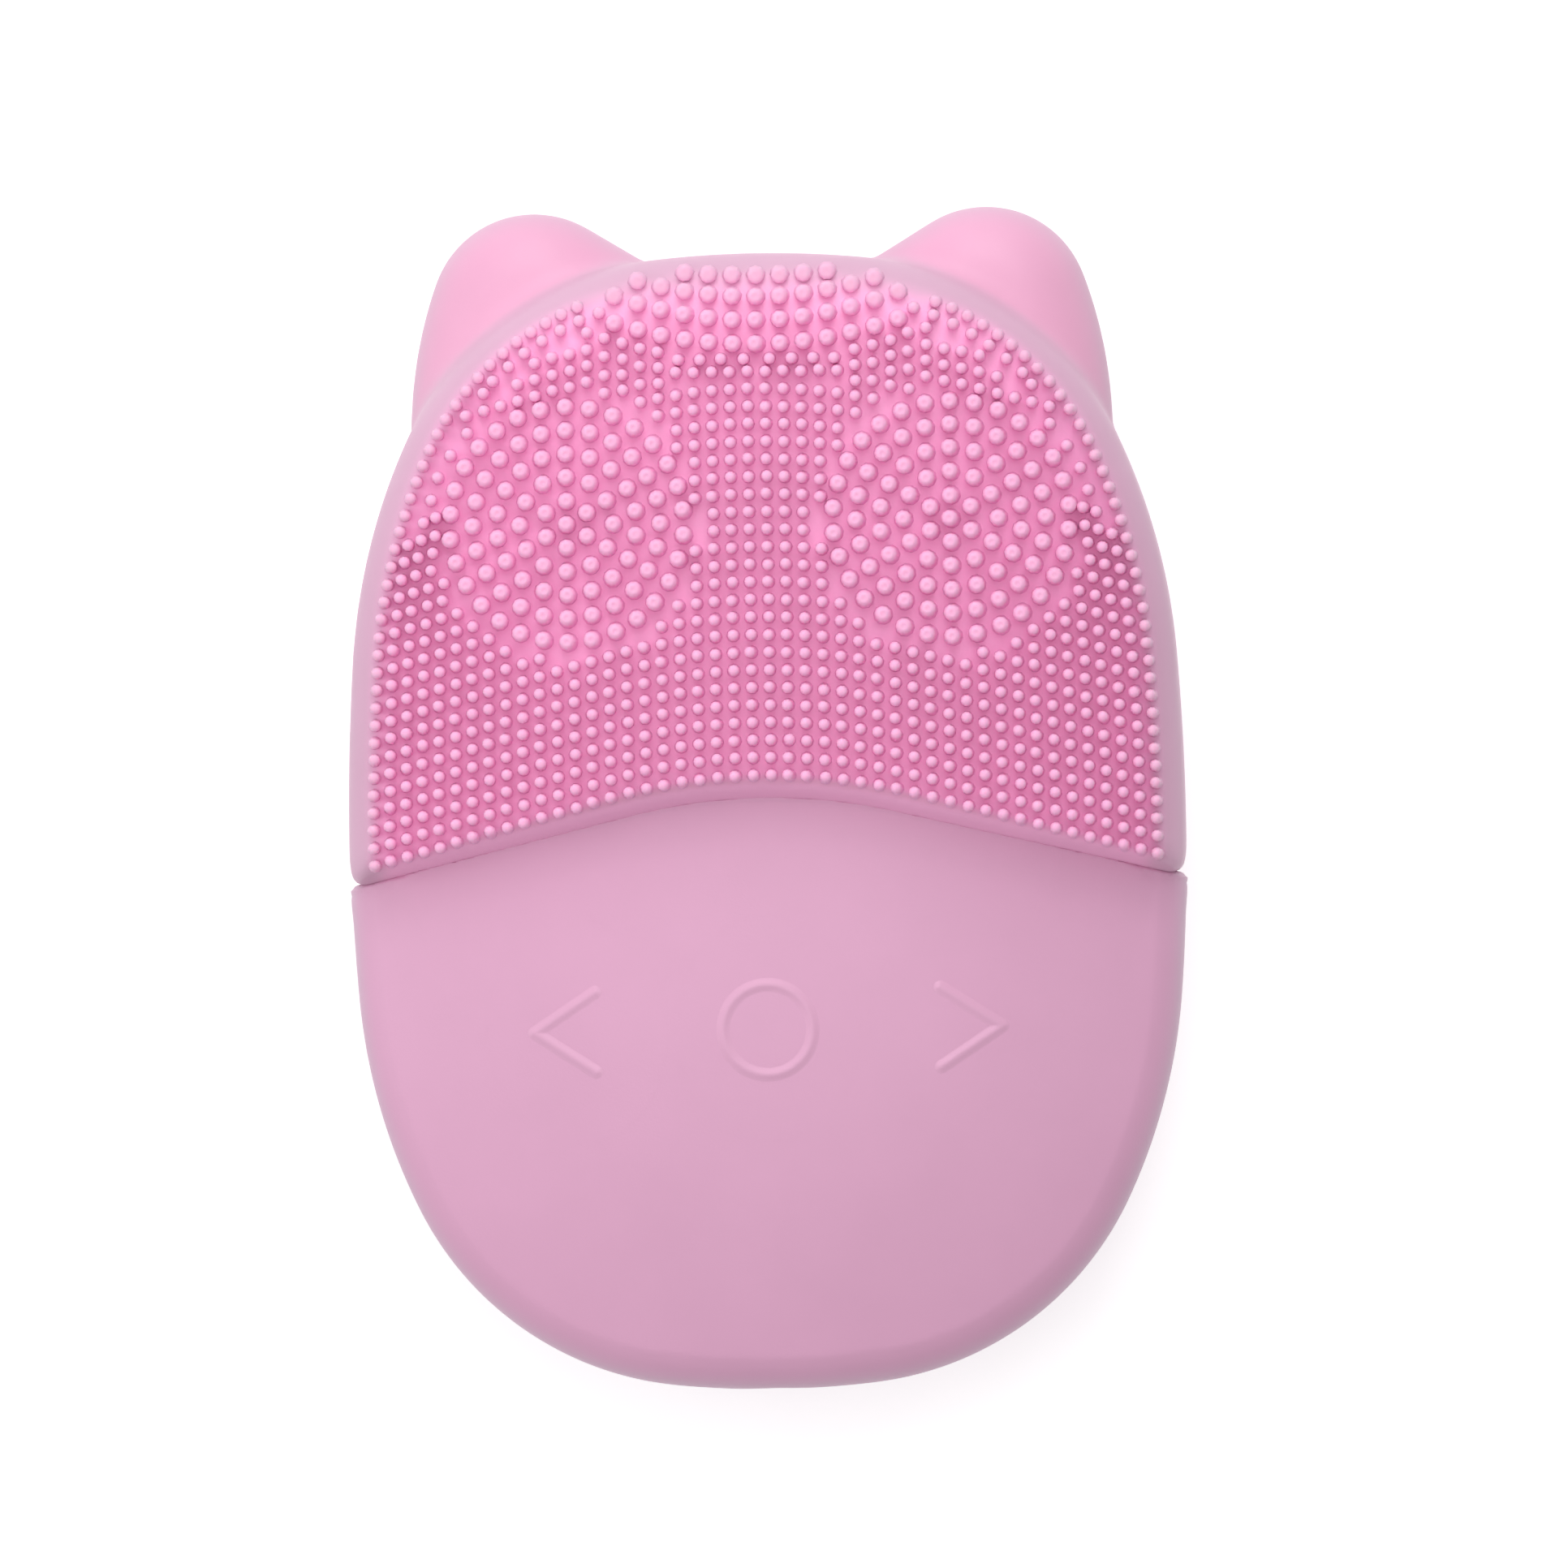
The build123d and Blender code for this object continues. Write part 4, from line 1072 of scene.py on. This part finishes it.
@dataclass
class HandleSkin(Skin):
    """The handle's silicone, cut to make room for the membranes over the keys."""

    keys: Sequence[KeyPlace] = ()
    lift_reach: float = 0.75
    lift_low: float = -2.0
    lift_facing: Band = (0.0, 0.3)
    line_rise: float = 0.06
    line_band: Band = (-0.7, 0.1)
    side_lift: float = 0.38
    side_start: Band = (-0.9, -0.4)
    side_end: Band = (0.9, 1.4)
    front_z: float = 17.0
    front_inset: Band = (2.4, 3.6)
    shoulder_run: float = 0.52
    shoulder_band: Band = (-2.8, -0.75)
    tongue_run: float = 0.25
    cut_reach: float = 10.2
    cut_depth: float = 3.2
    on_plane: float = 0.002
    off_plane: float = 0.001

    def close_seam(self, piece: bpy.types.Object, hidden: np.ndarray) -> None:
        """Narrows the groove and raises its floor, which on the front leaves a thin crease under the slab.

        Args:
            piece: The piece.
            hidden: Which vertices lie on the hard shells.
        """
        points, normals = Bench.points(piece), Bench.normals(piece)
        arcs = OUTLINE.arcs(0)
        for index, (x, y, z) in enumerate(points):
            above = STEP.distance(x, y)
            gap = PANEL.height(x, y) - z
            front = ramp(OUTLINE.depth(x, y, arcs), *self.front_inset) if z > self.front_z else 0.0
            if above > self.lift_low and 0 < gap < self.lift_reach:
                share = front * ramp(normals[index, 2], *self.lift_facing)
                points[index, 2] += (gap + self.line_rise * ramp(above, *self.line_band)) * share
            if self.side_start[0] < above < self.side_end[1] and not hidden[index]:
                outward = Vector((normals[index, 0], 0, normals[index, 2])).normalized()
                share = (1 - front) * ramp(above, *self.side_start) * (1 - ramp(above, *self.side_end))
                points[index] += np.array(outward) * self.side_lift * share
        Bench.place(piece, points)

        def shift(x: float, y: float, _: float) -> float:
            """How far a place moves towards the head."""
            above = STEP.distance(x, y)
            if above < -self.groove_half:
                return self.shoulder_run * ramp(above, *self.shoulder_band)
            share = min((above + self.groove_half) / (2 * self.groove_half), 1.0)
            return self.shoulder_run * (1 - share) - self.tongue_run * share
        self.slide(piece, shift)

    def cut(self, piece: bpy.types.Object, key: KeyPlace) -> None:
        """Planes the panel off over a key, down to the key's plane."""
        def near(face: bmesh.types.BMFace) -> bool:
            """Whether a face is on the panel round the key."""
            x, y, z = face.calc_center_median() / MM
            return math.hypot(x - key.x, y - key.y) < self.cut_reach and z > key.middle.z - self.cut_depth
        Bench.pick_faces(piece, near)
        bpy.ops.mesh.bisect(plane_co=key.middle * MM, plane_no=key.normal, use_fill=True,
                            clear_outer=True, threshold=1e-8)
        shape = bmesh.from_edit_mesh(piece.data)
        normal = key.normal
        for edge in shape.edges:
            flats = [abs((vertex.co / MM - key.middle).dot(normal)) < self.on_plane for vertex in edge.verts]
            if all(flats) and len(edge.link_faces) == 2:
                centres = [face.calc_center_median() / MM for face in edge.link_faces]
                depths = [abs((centre - key.middle).dot(normal)) for centre in centres]
                if min(depths) < self.off_plane < max(depths):
                    edge.smooth = False
        bmesh.update_edit_mesh(piece.data)
        Bench.close()

    def build(self) -> bpy.types.Object:
        """Builds and dresses the handle's skin."""
        piece = Bench.node_copy(self.frame, "handle_sleeve", "handle_skin")
        self.remesh(piece)
        hidden = self.hidden(piece)
        self.settle(piece, PANEL)
        self.relax(piece, hidden, [0.0] * len(hidden))
        self.settle(piece, PANEL)
        self.close_seam(piece, hidden)
        self.thin(piece, hidden)
        self.paint_side_shade(piece)
        piece.vertex_groups.clear()
        Bench.smooth(piece)
        for key in self.keys:
            self.cut(piece, key)
        return dress(piece, SKIN, "housing", "body_silicone", "handle_sleeve")


# ---------------------------------------------------------------------------------------- keys
class MarkShape(Enum):
    """The marks on the keys."""

    LEFT_ARROW = "left arrowhead"
    RING = "ring"
    RIGHT_ARROW = "right arrowhead"


@dataclass
class Key:
    """A key: the membrane of panel over it, the pad under that and the raised mark."""

    place: KeyPlace
    mark: MarkShape
    pad_radius: float = 4.2
    pad_depth: float = 1.65
    pad_gap: float = 0.03
    pad_sides: int = 64
    pad_bevel: float = 0.12
    mark_height: float = 0.135
    mark_half_width: float = 0.30
    mark_reach: float = 4.4
    mark_root: float = 0.3
    mark_sink: float = 0.04
    mark_fall: float = 0.3
    foot: float = 0.30
    foot_room: float = 1.3
    ring_radius: float = 3.50
    arrow_tip: float = 18.2
    arrow_length: float = 4.75
    arrow_rise: float = 3.1
    cell: float = 0.09
    segments: int = 96
    rings: tuple[float, ...] = (0.94, 0.87, 0.78, 0.68, 0.57, 0.45, 0.32, 0.18)

    def membrane(self) -> bpy.types.Object:
        """Builds the sheet of panel over the key: curved on top and flat underneath."""
        bpy.ops.object.select_all(action="DESELECT")
        bpy.ops.mesh.primitive_circle_add(vertices=self.segments, radius=1, fill_type="NOTHING")
        piece = bpy.context.object
        piece.name = f"{self.place.name}_membrane"
        Bench.edit(piece)
        last = 1.0
        for reach in self.rings:
            bpy.ops.mesh.extrude_edges_move()
            share = reach / last
            bpy.ops.transform.resize(value=(share, share, 1))
            last = reach
        bpy.ops.mesh.edge_face_add()
        bpy.ops.mesh.select_mode(type="FACE")
        bpy.ops.mesh.poke()
        bpy.ops.mesh.select_mode(type="EDGE")
        bpy.ops.mesh.select_all(action="DESELECT")
        bpy.ops.mesh.select_non_manifold()
        bpy.ops.mesh.edge_face_add()
        Bench.close()
        points = []
        edges: dict[int, float] = {}
        for vertex in piece.data.vertices:
            x, y, _ = vertex.co
            turn = math.atan2(y, x)
            step = round(turn / math.tau * self.segments) % self.segments
            if step not in edges:
                edges[step] = self.place.edge_reach(turn)
            points.append(self.place.sheet_point(math.hypot(x, y) * edges[step], turn)[0])
        Bench.place(piece, np.array(points))
        Bench.outward(piece)
        Bench.smooth(piece, 30)
        dress(piece, SKIN, "housing", "body_silicone")
        tuple(self.place.normal)
        tuple(self.place.middle * MM)
        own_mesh(piece)
        return piece

    @property
    def side(self) -> int:
        """Which way the arrowhead points: 1 for right, -1 for left."""
        return 1 if self.mark is MarkShape.RIGHT_ARROW else -1

    def line_distance(self, x: float, y: float) -> float:
        """How far a place is from the middle of the mark's line."""
        along = y - self.place.y
        if self.mark is MarkShape.RING:
            return abs(math.hypot(x - self.place.x, along) - self.ring_radius)
        back, rise = self.arrow_tip - self.side * x, abs(along)
        share = (back * self.arrow_length + rise * self.arrow_rise) / (self.arrow_length**2 + self.arrow_rise**2)
        share = min(max(share, 0.0), 1.0)
        return math.hypot(back - share * self.arrow_length, rise - share * self.arrow_rise)

    def profile(self, distance: float) -> float:
        """Height of the raised line over the panel, by the distance from its middle."""
        reach = self.mark_half_width + self.foot
        top = (1 + self.mark_sink) * (1 - ramp(distance, 0.0, reach)) - self.mark_sink
        return self.mark_height * top - self.mark_fall * max(distance - reach, 0)

    def raised_mark(self) -> bpy.types.Object:
        """Builds the raised line, from inside the pad up to its rounded top."""
        centre_x = self.place.x
        if self.mark is not MarkShape.RING:
            centre_x = self.side * (self.arrow_tip - self.arrow_length / 2)
        size = 2 * self.mark_reach
        count = int(size / self.cell)
        bpy.ops.object.select_all(action="DESELECT")
        bpy.ops.mesh.primitive_grid_add(x_subdivisions=count, y_subdivisions=count, size=size * MM,
                                        location=(centre_x * MM, self.place.y * MM, 0))
        piece = bpy.context.object
        piece.name = f"{self.place.name}_mark"
        bpy.ops.object.transform_apply(location=True, rotation=True, scale=True)
        limit = self.mark_half_width + self.foot * self.foot_room

        def away(face: bmesh.types.BMFace) -> bool:
            """Whether a face is off the line."""
            x, y, _ = face.calc_center_median() / MM
            return self.line_distance(x, y) > limit
        Bench.pick_faces(piece, away)
        bpy.ops.mesh.delete(type="FACE")
        bpy.ops.mesh.select_all(action="SELECT")
        bpy.ops.mesh.extrude_region_move(TRANSFORM_OT_translate={"value": (0, 0, MM)})
        Bench.close()
        points = Bench.points(piece)
        for index, (x, y, z) in enumerate(points):
            lift = self.profile(self.line_distance(x, y)) if z > 0.5 else -(self.place.dip + self.mark_root)
            points[index, 2] = PANEL.height(x, y) + lift
        Bench.place(piece, points)
        Bench.outward(piece)
        return piece

    def face(self) -> bpy.types.Object:
        """Builds the moving part: the pad under the membrane with the mark on it."""
        high = PANEL.height(self.place.x, self.place.y)
        low = high - self.pad_depth
        bpy.ops.object.select_all(action="DESELECT")
        middle = (high + low) / 2
        bpy.ops.mesh.primitive_cylinder_add(vertices=self.pad_sides, radius=self.pad_radius * MM,
                                            depth=(high - low) * MM,
                                            location=(self.place.x * MM, self.place.y * MM, middle * MM))
        piece = bpy.context.object
        piece.name = f"{self.place.name}_face"
        bpy.ops.object.transform_apply(location=True, rotation=True, scale=True)
        points = Bench.points(piece)
        for index, (x, y, z) in enumerate(points):
            if z < middle:
                points[index, 2] = PANEL.height(x, y) - self.pad_depth
        Bench.place(piece, points)
        Bench.edit(piece)
        bpy.ops.mesh.bisect(plane_co=(self.place.middle - self.place.normal * self.pad_gap) * MM,
                            plane_no=self.place.normal, use_fill=True, clear_outer=True, threshold=1e-8)
        Bench.close()
        Bench.modify(piece, "BEVEL", width=self.pad_bevel * MM, segments=2, limit_method="ANGLE")
        Bench.join(piece, self.raised_mark())
        Bench.smooth(piece, 50)
        return dress(piece, MARK, f"{self.place.name}_key", "body_silicone", f"{self.place.name}_button")

    def build(self) -> None:
        """Builds and dresses the key."""
        self.membrane()
        self.face()


# ---------------------------------------------------------------------------------------- bristles
@dataclass
class Bristles:
    """Every bristle of the slab: the fine field, the rim's rows, the eyes' rings and the forehead's rows."""

    length: float = 2.48
    root: float = 0.6
    sides: int = 10
    thin_radius: float = 0.46
    thick_radius: float = 0.67
    column_pitch: float = 1.394
    columns: int = 23
    row_pitch: float = 1.365
    upper_row_pitch: float = 1.27
    upper_rows_y: float = 30.7
    lowest_row: Arch = Arch(apex_y=1.9, radius=46.0, flank_angle=15.1)
    rim_inset: float = 2.15
    rim_pitch: float = 1.352
    rim_y: float = 22.55
    rim_end_x: float = 13.7
    second_rim_inset: float = 3.20
    second_rim_pitch: float = 1.64
    second_rim_y: float = 32.85
    second_rim_end_x: float = 12.0
    eye_x: float = 14.92
    eye_y: float = 21.6
    ring_pitch: float = 1.83
    eye_rings: int = 5
    eye_room: float = 1.05
    bend_fade: float = 5.7
    bend_power: int = 4
    clear_share: float = 0.82
    forehead_pitch: float = 1.855
    forehead_squeeze: float = 0.003
    forehead_y: float = 35.40
    forehead_rise: float = 0.0147
    forehead_rows: tuple[float, ...] = (0.0, 1.86, 3.68, 5.35)
    forehead_spread: tuple[float, ...] = (0.0, 0.0011, 0.0004, -0.0012)
    forehead_reach: tuple[int, ...] = (6, 6, 5, 3)
    forehead_end_x: float = 12.0
    forehead_room: float = 1.42
    bridge_y: float = 34.25
    bridge_x: tuple[float, ...] = (1.01, 2.76, 4.40, 6.05)
    bridge_reach: float = 0.85
    bridge_room: float = 1.0
    lean: float = 0.9
    twist: float = 0.6
    seed: int = 11
    low_band: Band = (29.0, 39.0)
    low_inset: Band = (2.3, 4.2)
    low_share: float = 0.62
    rim_tint: Band = (1.6, 3.4)
    above_all: float = 40.0

    def eyes(self) -> list[Point]:
        """Thick strands in rings round each eye."""
        places = [(self.eye_x, self.eye_y)]
        for ring in range(1, self.eye_rings + 1):
            for step in range(6 * ring):
                turn = math.pi / 2 + math.tau * step / (6 * ring)
                places.append((self.eye_x + ring * self.ring_pitch * math.cos(turn),
                               self.eye_y + ring * self.ring_pitch * math.sin(turn)))
        return places + [(-x, y) for x, y in places]

    def forehead_line(self, x: float) -> float:
        """The forehead's lowest row."""
        return self.forehead_y + self.forehead_rise * x**2

    def forehead(self) -> list[Point]:
        """Thick strands in curved rows between the ears."""
        places = []
        for row, spread, reach in zip(self.forehead_rows, self.forehead_spread, self.forehead_reach):
            for column in range(-reach, reach + 1):
                x = math.copysign(self.forehead_pitch * abs(column) - self.forehead_squeeze * column**2, column)
                places.append((x, self.forehead_line(x) + row * (1 + spread * x**2)))
        return places

    @staticmethod
    def rim_row(inset: float, pitch: float, low_y: float, end_x: float) -> list[Point]:
        """Thin strands in a row along the rim.

        Args:
            inset: How far inside the outline the row runs.
            pitch: Distance between its strands.
            low_y: Where it starts.
            end_x: How near the middle line it ends.

        Returns:
            The strands' places.
        """
        places: list[Point] = []
        y = low_y
        while OUTLINE.width(y, inset) > end_x:
            place = (OUTLINE.width(y, inset), y)
            if not places or math.dist(place, places[-1]) >= pitch:
                places.append(place)
            y += 0.01
        return places

    def rim(self) -> list[Point]:
        """The rim's row above the eyes' middle and the shorter row inside it."""
        return (self.rim_row(self.rim_inset, self.rim_pitch, self.rim_y, self.rim_end_x)
                + self.rim_row(self.second_rim_inset, self.second_rim_pitch, self.second_rim_y,
                               self.second_rim_end_x))

    def column_x(self, x: float, y: float) -> float:
        """Bends a straight column inwards with the rim.

        Args:
            x: The column's place where the head is widest.
            y: Place along.

        Returns:
            The column's place at y.
        """
        widest = OUTLINE.half_width - self.rim_inset
        if y < OUTLINE.widest_y:
            return x
        shift = widest - OUTLINE.width(min(y, self.eye_y), self.rim_inset)
        shift *= 1 - ramp(y, self.eye_y, self.eye_y + self.bend_fade)
        return x - shift * (x / widest) ** self.bend_power

    def column(self, x: float, rim: Sequence[Point]) -> list[Point]:
        """The thin strands of one column.

        Args:
            x: The column's place where the head is widest.
            rim: The rim's strands, which the column keeps clear of.

        Returns:
            The strands' places.
        """
        places = []
        y, upper_pitch = self.lowest_row.height(x), self.upper_row_pitch
        eye_reach = self.eye_rings * self.ring_pitch + self.eye_room
        high_x = self.column_x(x, self.forehead_y)
        end = OUTLINE.reach
        if high_x < self.forehead_end_x:
            end = self.forehead_line(high_x) - self.forehead_room
            if high_x < self.bridge_x[-1] + self.bridge_reach:
                end = self.bridge_y - self.bridge_room
        while y < end + 0.01:
            bent = self.column_x(x, y)
            clear = all(math.hypot(bent - a, y - b) > self.clear_share * self.rim_pitch for a, b in rim)
            inside = y < self.eye_y or bent < OUTLINE.width(y, self.rim_inset)
            if clear and inside and math.hypot(bent - self.eye_x, y - self.eye_y) > eye_reach:
                places.append((bent, y))
            if y < self.upper_rows_y:
                y += self.row_pitch
                if y >= self.upper_rows_y and end < OUTLINE.reach:
                    upper_pitch = (end - y) / max(round((end - y) / self.upper_row_pitch), 1)
            else:
                y += upper_pitch
        return places

    def field(self) -> list[Point]:
        """All thin strands."""
        rim = self.rim()
        places = list(rim) + [(x, self.bridge_y) for x in self.bridge_x]
        for column in range(self.columns):
            turn = (column + 0.5) * self.column_pitch / SLAB.barrel_radius
            places += self.column(SLAB.barrel_radius * math.sin(turn), rim)
        return places + [(-x, y) for x, y in places]

    def strand(self, name: str, radius: float, outline: Sequence[Point]) -> bpy.types.Object:
        """Models one strand upwards from its root.

        Args:
            name: The strand's name.
            radius: Its radius.
            outline: Its height over the slab and its share of the radius, ring by ring.

        Returns:
            The strand, at the origin.
        """
        bpy.ops.object.select_all(action="DESELECT")
        bpy.ops.mesh.primitive_circle_add(vertices=self.sides, radius=radius * outline[0][1] * MM,
                                          fill_type="NGON", location=(0, 0, -self.root * MM))
        piece = bpy.context.object
        piece.name = name
        bpy.ops.object.transform_apply(location=True, rotation=True, scale=True)
        Bench.edit(piece, "FACE")
        height, last = -self.root, outline[0][1]
        for rise, share in outline:
            bpy.ops.mesh.extrude_region_move(TRANSFORM_OT_translate={"value": (0, 0, (rise - height) * MM)})
            bpy.ops.transform.resize(value=(share / last, share / last, 1))
            height, last = rise, share
        Bench.close()
        Bench.outward(piece)
        Bench.mark(piece, "rise", [min(max(z / self.length, 0.0), 1.0) for _, _, z in Bench.points(piece)])
        Bench.smooth(piece)
        return piece

    def build(self, head: bpy.types.Object) -> bpy.types.Object:
        """Builds and dresses the bristles.

        Args:
            head: The head's skin, which they stand on.

        Returns:
            The bristles.
        """
        corners = [vertex.co.copy() for vertex in head.data.vertices]
        ground = BVHTree.FromPolygons(corners, [tuple(face.vertices) for face in head.data.polygons])
        tip = self.length
        thin = self.strand("thin_strand", self.thin_radius,
                           ((-0.05, 1.22), (0.25, 1.02), (tip - 0.40, 0.97), (tip - 0.16, 0.80),
                            (tip - 0.04, 0.50), (tip, 0.20)))
        thick = self.strand("thick_strand", self.thick_radius,
                            ((-0.05, 1.20), (0.3, 1.02), (tip - 0.50, 0.98), (tip - 0.20, 0.83),
                             (tip - 0.04, 0.60), (tip, 0.40), (tip - 0.06, 0.20)))
        chance = random.Random(self.seed)
        arcs = OUTLINE.arcs(0)
        copies = []
        for model, places in ((thin, self.field()), (thick, self.eyes() + self.forehead())):
            for x, y in places:
                copy = bpy.data.objects.new("strand", model.data.copy())
                inside = OUTLINE.depth(x, y, arcs)
                low = ramp(y, *self.low_band) * (1 - ramp(inside, *self.low_inset))
                # Strands near the rim and the short ones at the top take the rim colour: painted sheen.
                pale = max(1 - ramp(inside, *self.rim_tint), low)
                Bench.mark(copy, "rim", [pale] * len(copy.data.vertices))
                bpy.context.scene.collection.objects.link(copy)
                foot = ground.ray_cast(Vector((x, y, self.above_all)) * MM, Vector((0, 0, -1)))[0]
                copy.location = Vector((x, y, min(foot.z / MM, SLAB.height(x, y)))) * MM
                copy.scale.z = 1 - self.low_share * low
                copy.rotation_euler = (math.radians(chance.gauss(0, self.lean)),
                                       math.radians(chance.gauss(0, self.lean)), chance.uniform(0, self.twist))
                copies.append(copy)
            LOG.info("%s: %d copies", model.name, len(places))
            bpy.data.objects.remove(model)
        bpy.context.view_layer.update()
        piece = Bench.join(*copies)
        bpy.ops.object.transform_apply(location=True, rotation=True, scale=True)
        piece.name = "bristles"
        return dress(piece, BRISTLE, "housing", "bristle_silicone", "bristle_pad")


# ---------------------------------------------------------------------------------------- inside
@dataclass
class InnerParts:
    """The CAD nodes whose shapes are right and which only take a finish."""

    frame: dict[str, Any]

    def dress(self) -> None:
        """Gives every CAD node its slot's finish."""
        made: dict[str, bpy.types.Material] = {}
        for part in self.frame["record"]["subparts"]:
            slot = part["material_slot"]
            if slot not in made:
                made[slot] = SLOT_FINISHES[slot].material()
            mesh = self.frame["nodes"][part["node"]].data
            mesh.materials.clear()
            mesh.materials.append(made[slot])
        LOG.info("inner parts: %d finishes", len(made))


# ---------------------------------------------------------------------------------------- studio
@dataclass
class Studio:
    """Floor, light and camera."""

    floor_size: float = 4000.0
    frame_width: float = 122.4
    target: tuple[float, float, float] = (1.22, 1.20, 10.5)
    distance: float = 3000.0
    sensor: float = 36.0
    roll: float = 0.94
    yaw: float = 1.6
    world_level: float = 0.44
    floor_glow: float = 0.60
    lamp_size: float = 430.0
    lamp_aim_z: float = 12.0

    def floor(self) -> bpy.types.Object:
        """A white sheet under the brush that keeps its shadow."""
        bpy.ops.object.select_all(action="DESELECT")
        bpy.ops.mesh.primitive_plane_add(size=self.floor_size * MM, location=(0, 0, -0.02 * MM))
        piece = bpy.context.object
        piece.name = "floor"
        graph = Graph("white floor")
        paper = graph.noise(40.0, 2.0)
        matt = graph.signal("ShaderNodeBsdfPrincipled", {}, {
            "Base Color": graph.blend(paper, (0.70, 0.70, 0.71), (0.73, 0.73, 0.73)), "Roughness": 0.9})
        path = graph.node("ShaderNodeLightPath", {}, {})
        seen = sum((Signal(graph, path.outputs[name]) for name in
                    ("Is Camera Ray", "Is Glossy Ray", "Is Transmission Ray")), start=0)
        glow = graph.signal("ShaderNodeEmission", {}, {"Color": (1.0, 1.0, 1.0), "Strength": seen * self.floor_glow})
        both = graph.signal("ShaderNodeAddShader", {}, {0: matt, 1: glow})
        graph.node("ShaderNodeOutputMaterial", {}, {"Surface": both})
        piece.data.materials.append(graph.material)
        return piece

    def world(self) -> None:
        """A white room: plain fill light, seen as white."""
        world = bpy.data.worlds.new("studio")
        bpy.context.scene.world = world
        world.use_nodes = True
        tree = world.node_tree
        tree.nodes.clear()
        output = tree.nodes.new("ShaderNodeOutputWorld")
        light, seen, choice, path = (tree.nodes.new(kind) for kind in (
            "ShaderNodeBackground", "ShaderNodeBackground", "ShaderNodeMixShader", "ShaderNodeLightPath"))
        light.inputs["Strength"].default_value = self.world_level
        light.inputs["Color"].default_value = (1.0, 0.985, 0.99, 1.0)
        seen.inputs["Strength"].default_value = 1.0
        seen.inputs["Color"].default_value = (1.0, 1.0, 1.0, 1.0)
        tree.links.new(path.outputs["Is Camera Ray"], choice.inputs[0])
        tree.links.new(light.outputs[0], choice.inputs[1])
        tree.links.new(seen.outputs[0], choice.inputs[2])
        tree.links.new(choice.outputs[0], output.inputs["Surface"])

    def lamp(self, name: str, place: tuple[float, float, float], power: float) -> None:
        """Adds a soft square lamp that faces the brush.

        Args:
            name: The lamp's name.
            place: Where it hangs.
            power: Its power in watts.
        """
        data = bpy.data.lights.new(name, "AREA")
        data.size = self.lamp_size * MM
        data.energy = power
        lamp = bpy.data.objects.new(name, data)
        bpy.context.scene.collection.objects.link(lamp)
        lamp.location = Vector(place) * MM
        lamp.rotation_euler = (Vector((0, 0, self.lamp_aim_z)) - Vector(place)).to_track_quat("-Z", "Y").to_euler()

    def camera(self) -> None:
        """A long lens straight over the brush, turned and leaned a little as in the photograph."""
        roll, yaw = math.radians(self.roll), math.radians(self.yaw)
        level_right = Vector((math.cos(roll), -math.sin(roll), 0))
        back = Vector((0, 0, 1)) * math.cos(yaw) + level_right * math.sin(yaw)
        right = (level_right - back * level_right.dot(back)).normalized()
        up = back.cross(right)
        target = level_right * self.target[0] + Vector((math.sin(roll), math.cos(roll), 0)) * self.target[1]
        target.z = self.target[2]
        data = bpy.data.cameras.new("camera")
        data.sensor_width = self.sensor
        data.lens = self.sensor * self.distance / self.frame_width
        data.clip_end = 100.0
        camera = bpy.data.objects.new("camera", data)
        bpy.context.scene.collection.objects.link(camera)
        camera.matrix_world = Matrix.Translation((target + back * self.distance) * MM) @ Matrix(
            (right, up, back)).transposed().to_4x4()
        bpy.context.scene.camera = camera

    def build(self) -> None:
        """Sets up the whole studio."""
        self.floor()
        self.world()
        self.lamp("overhead", (0, 1, 612), 0.565)
        self.lamp("key", (0, 300, 532), 0.88)
        self.lamp("window", (0, 520, 312), 1.20)
        self.lamp("side", (-520, 0, 312), 0.81)
        self.camera()
        bpy.context.scene.view_settings.view_transform = "Standard"


def main() -> None:
    """Loads the frame and builds every piece in order."""
    logging.basicConfig(level=logging.INFO, format="%(message)s")
    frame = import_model()
    Studio().build()
    InnerParts(frame).dress()
    places = (KeyPlace("slower", -14.9), KeyPlace("power", 0.0), KeyPlace("faster", 14.9))
    Bristles().build(HeadSkin(frame).build())
    HandleSkin(frame, keys=places).build()
    for place, mark in zip(places, MarkShape):
        Key(place, mark).build()


if __name__ == "__main__":
    main()
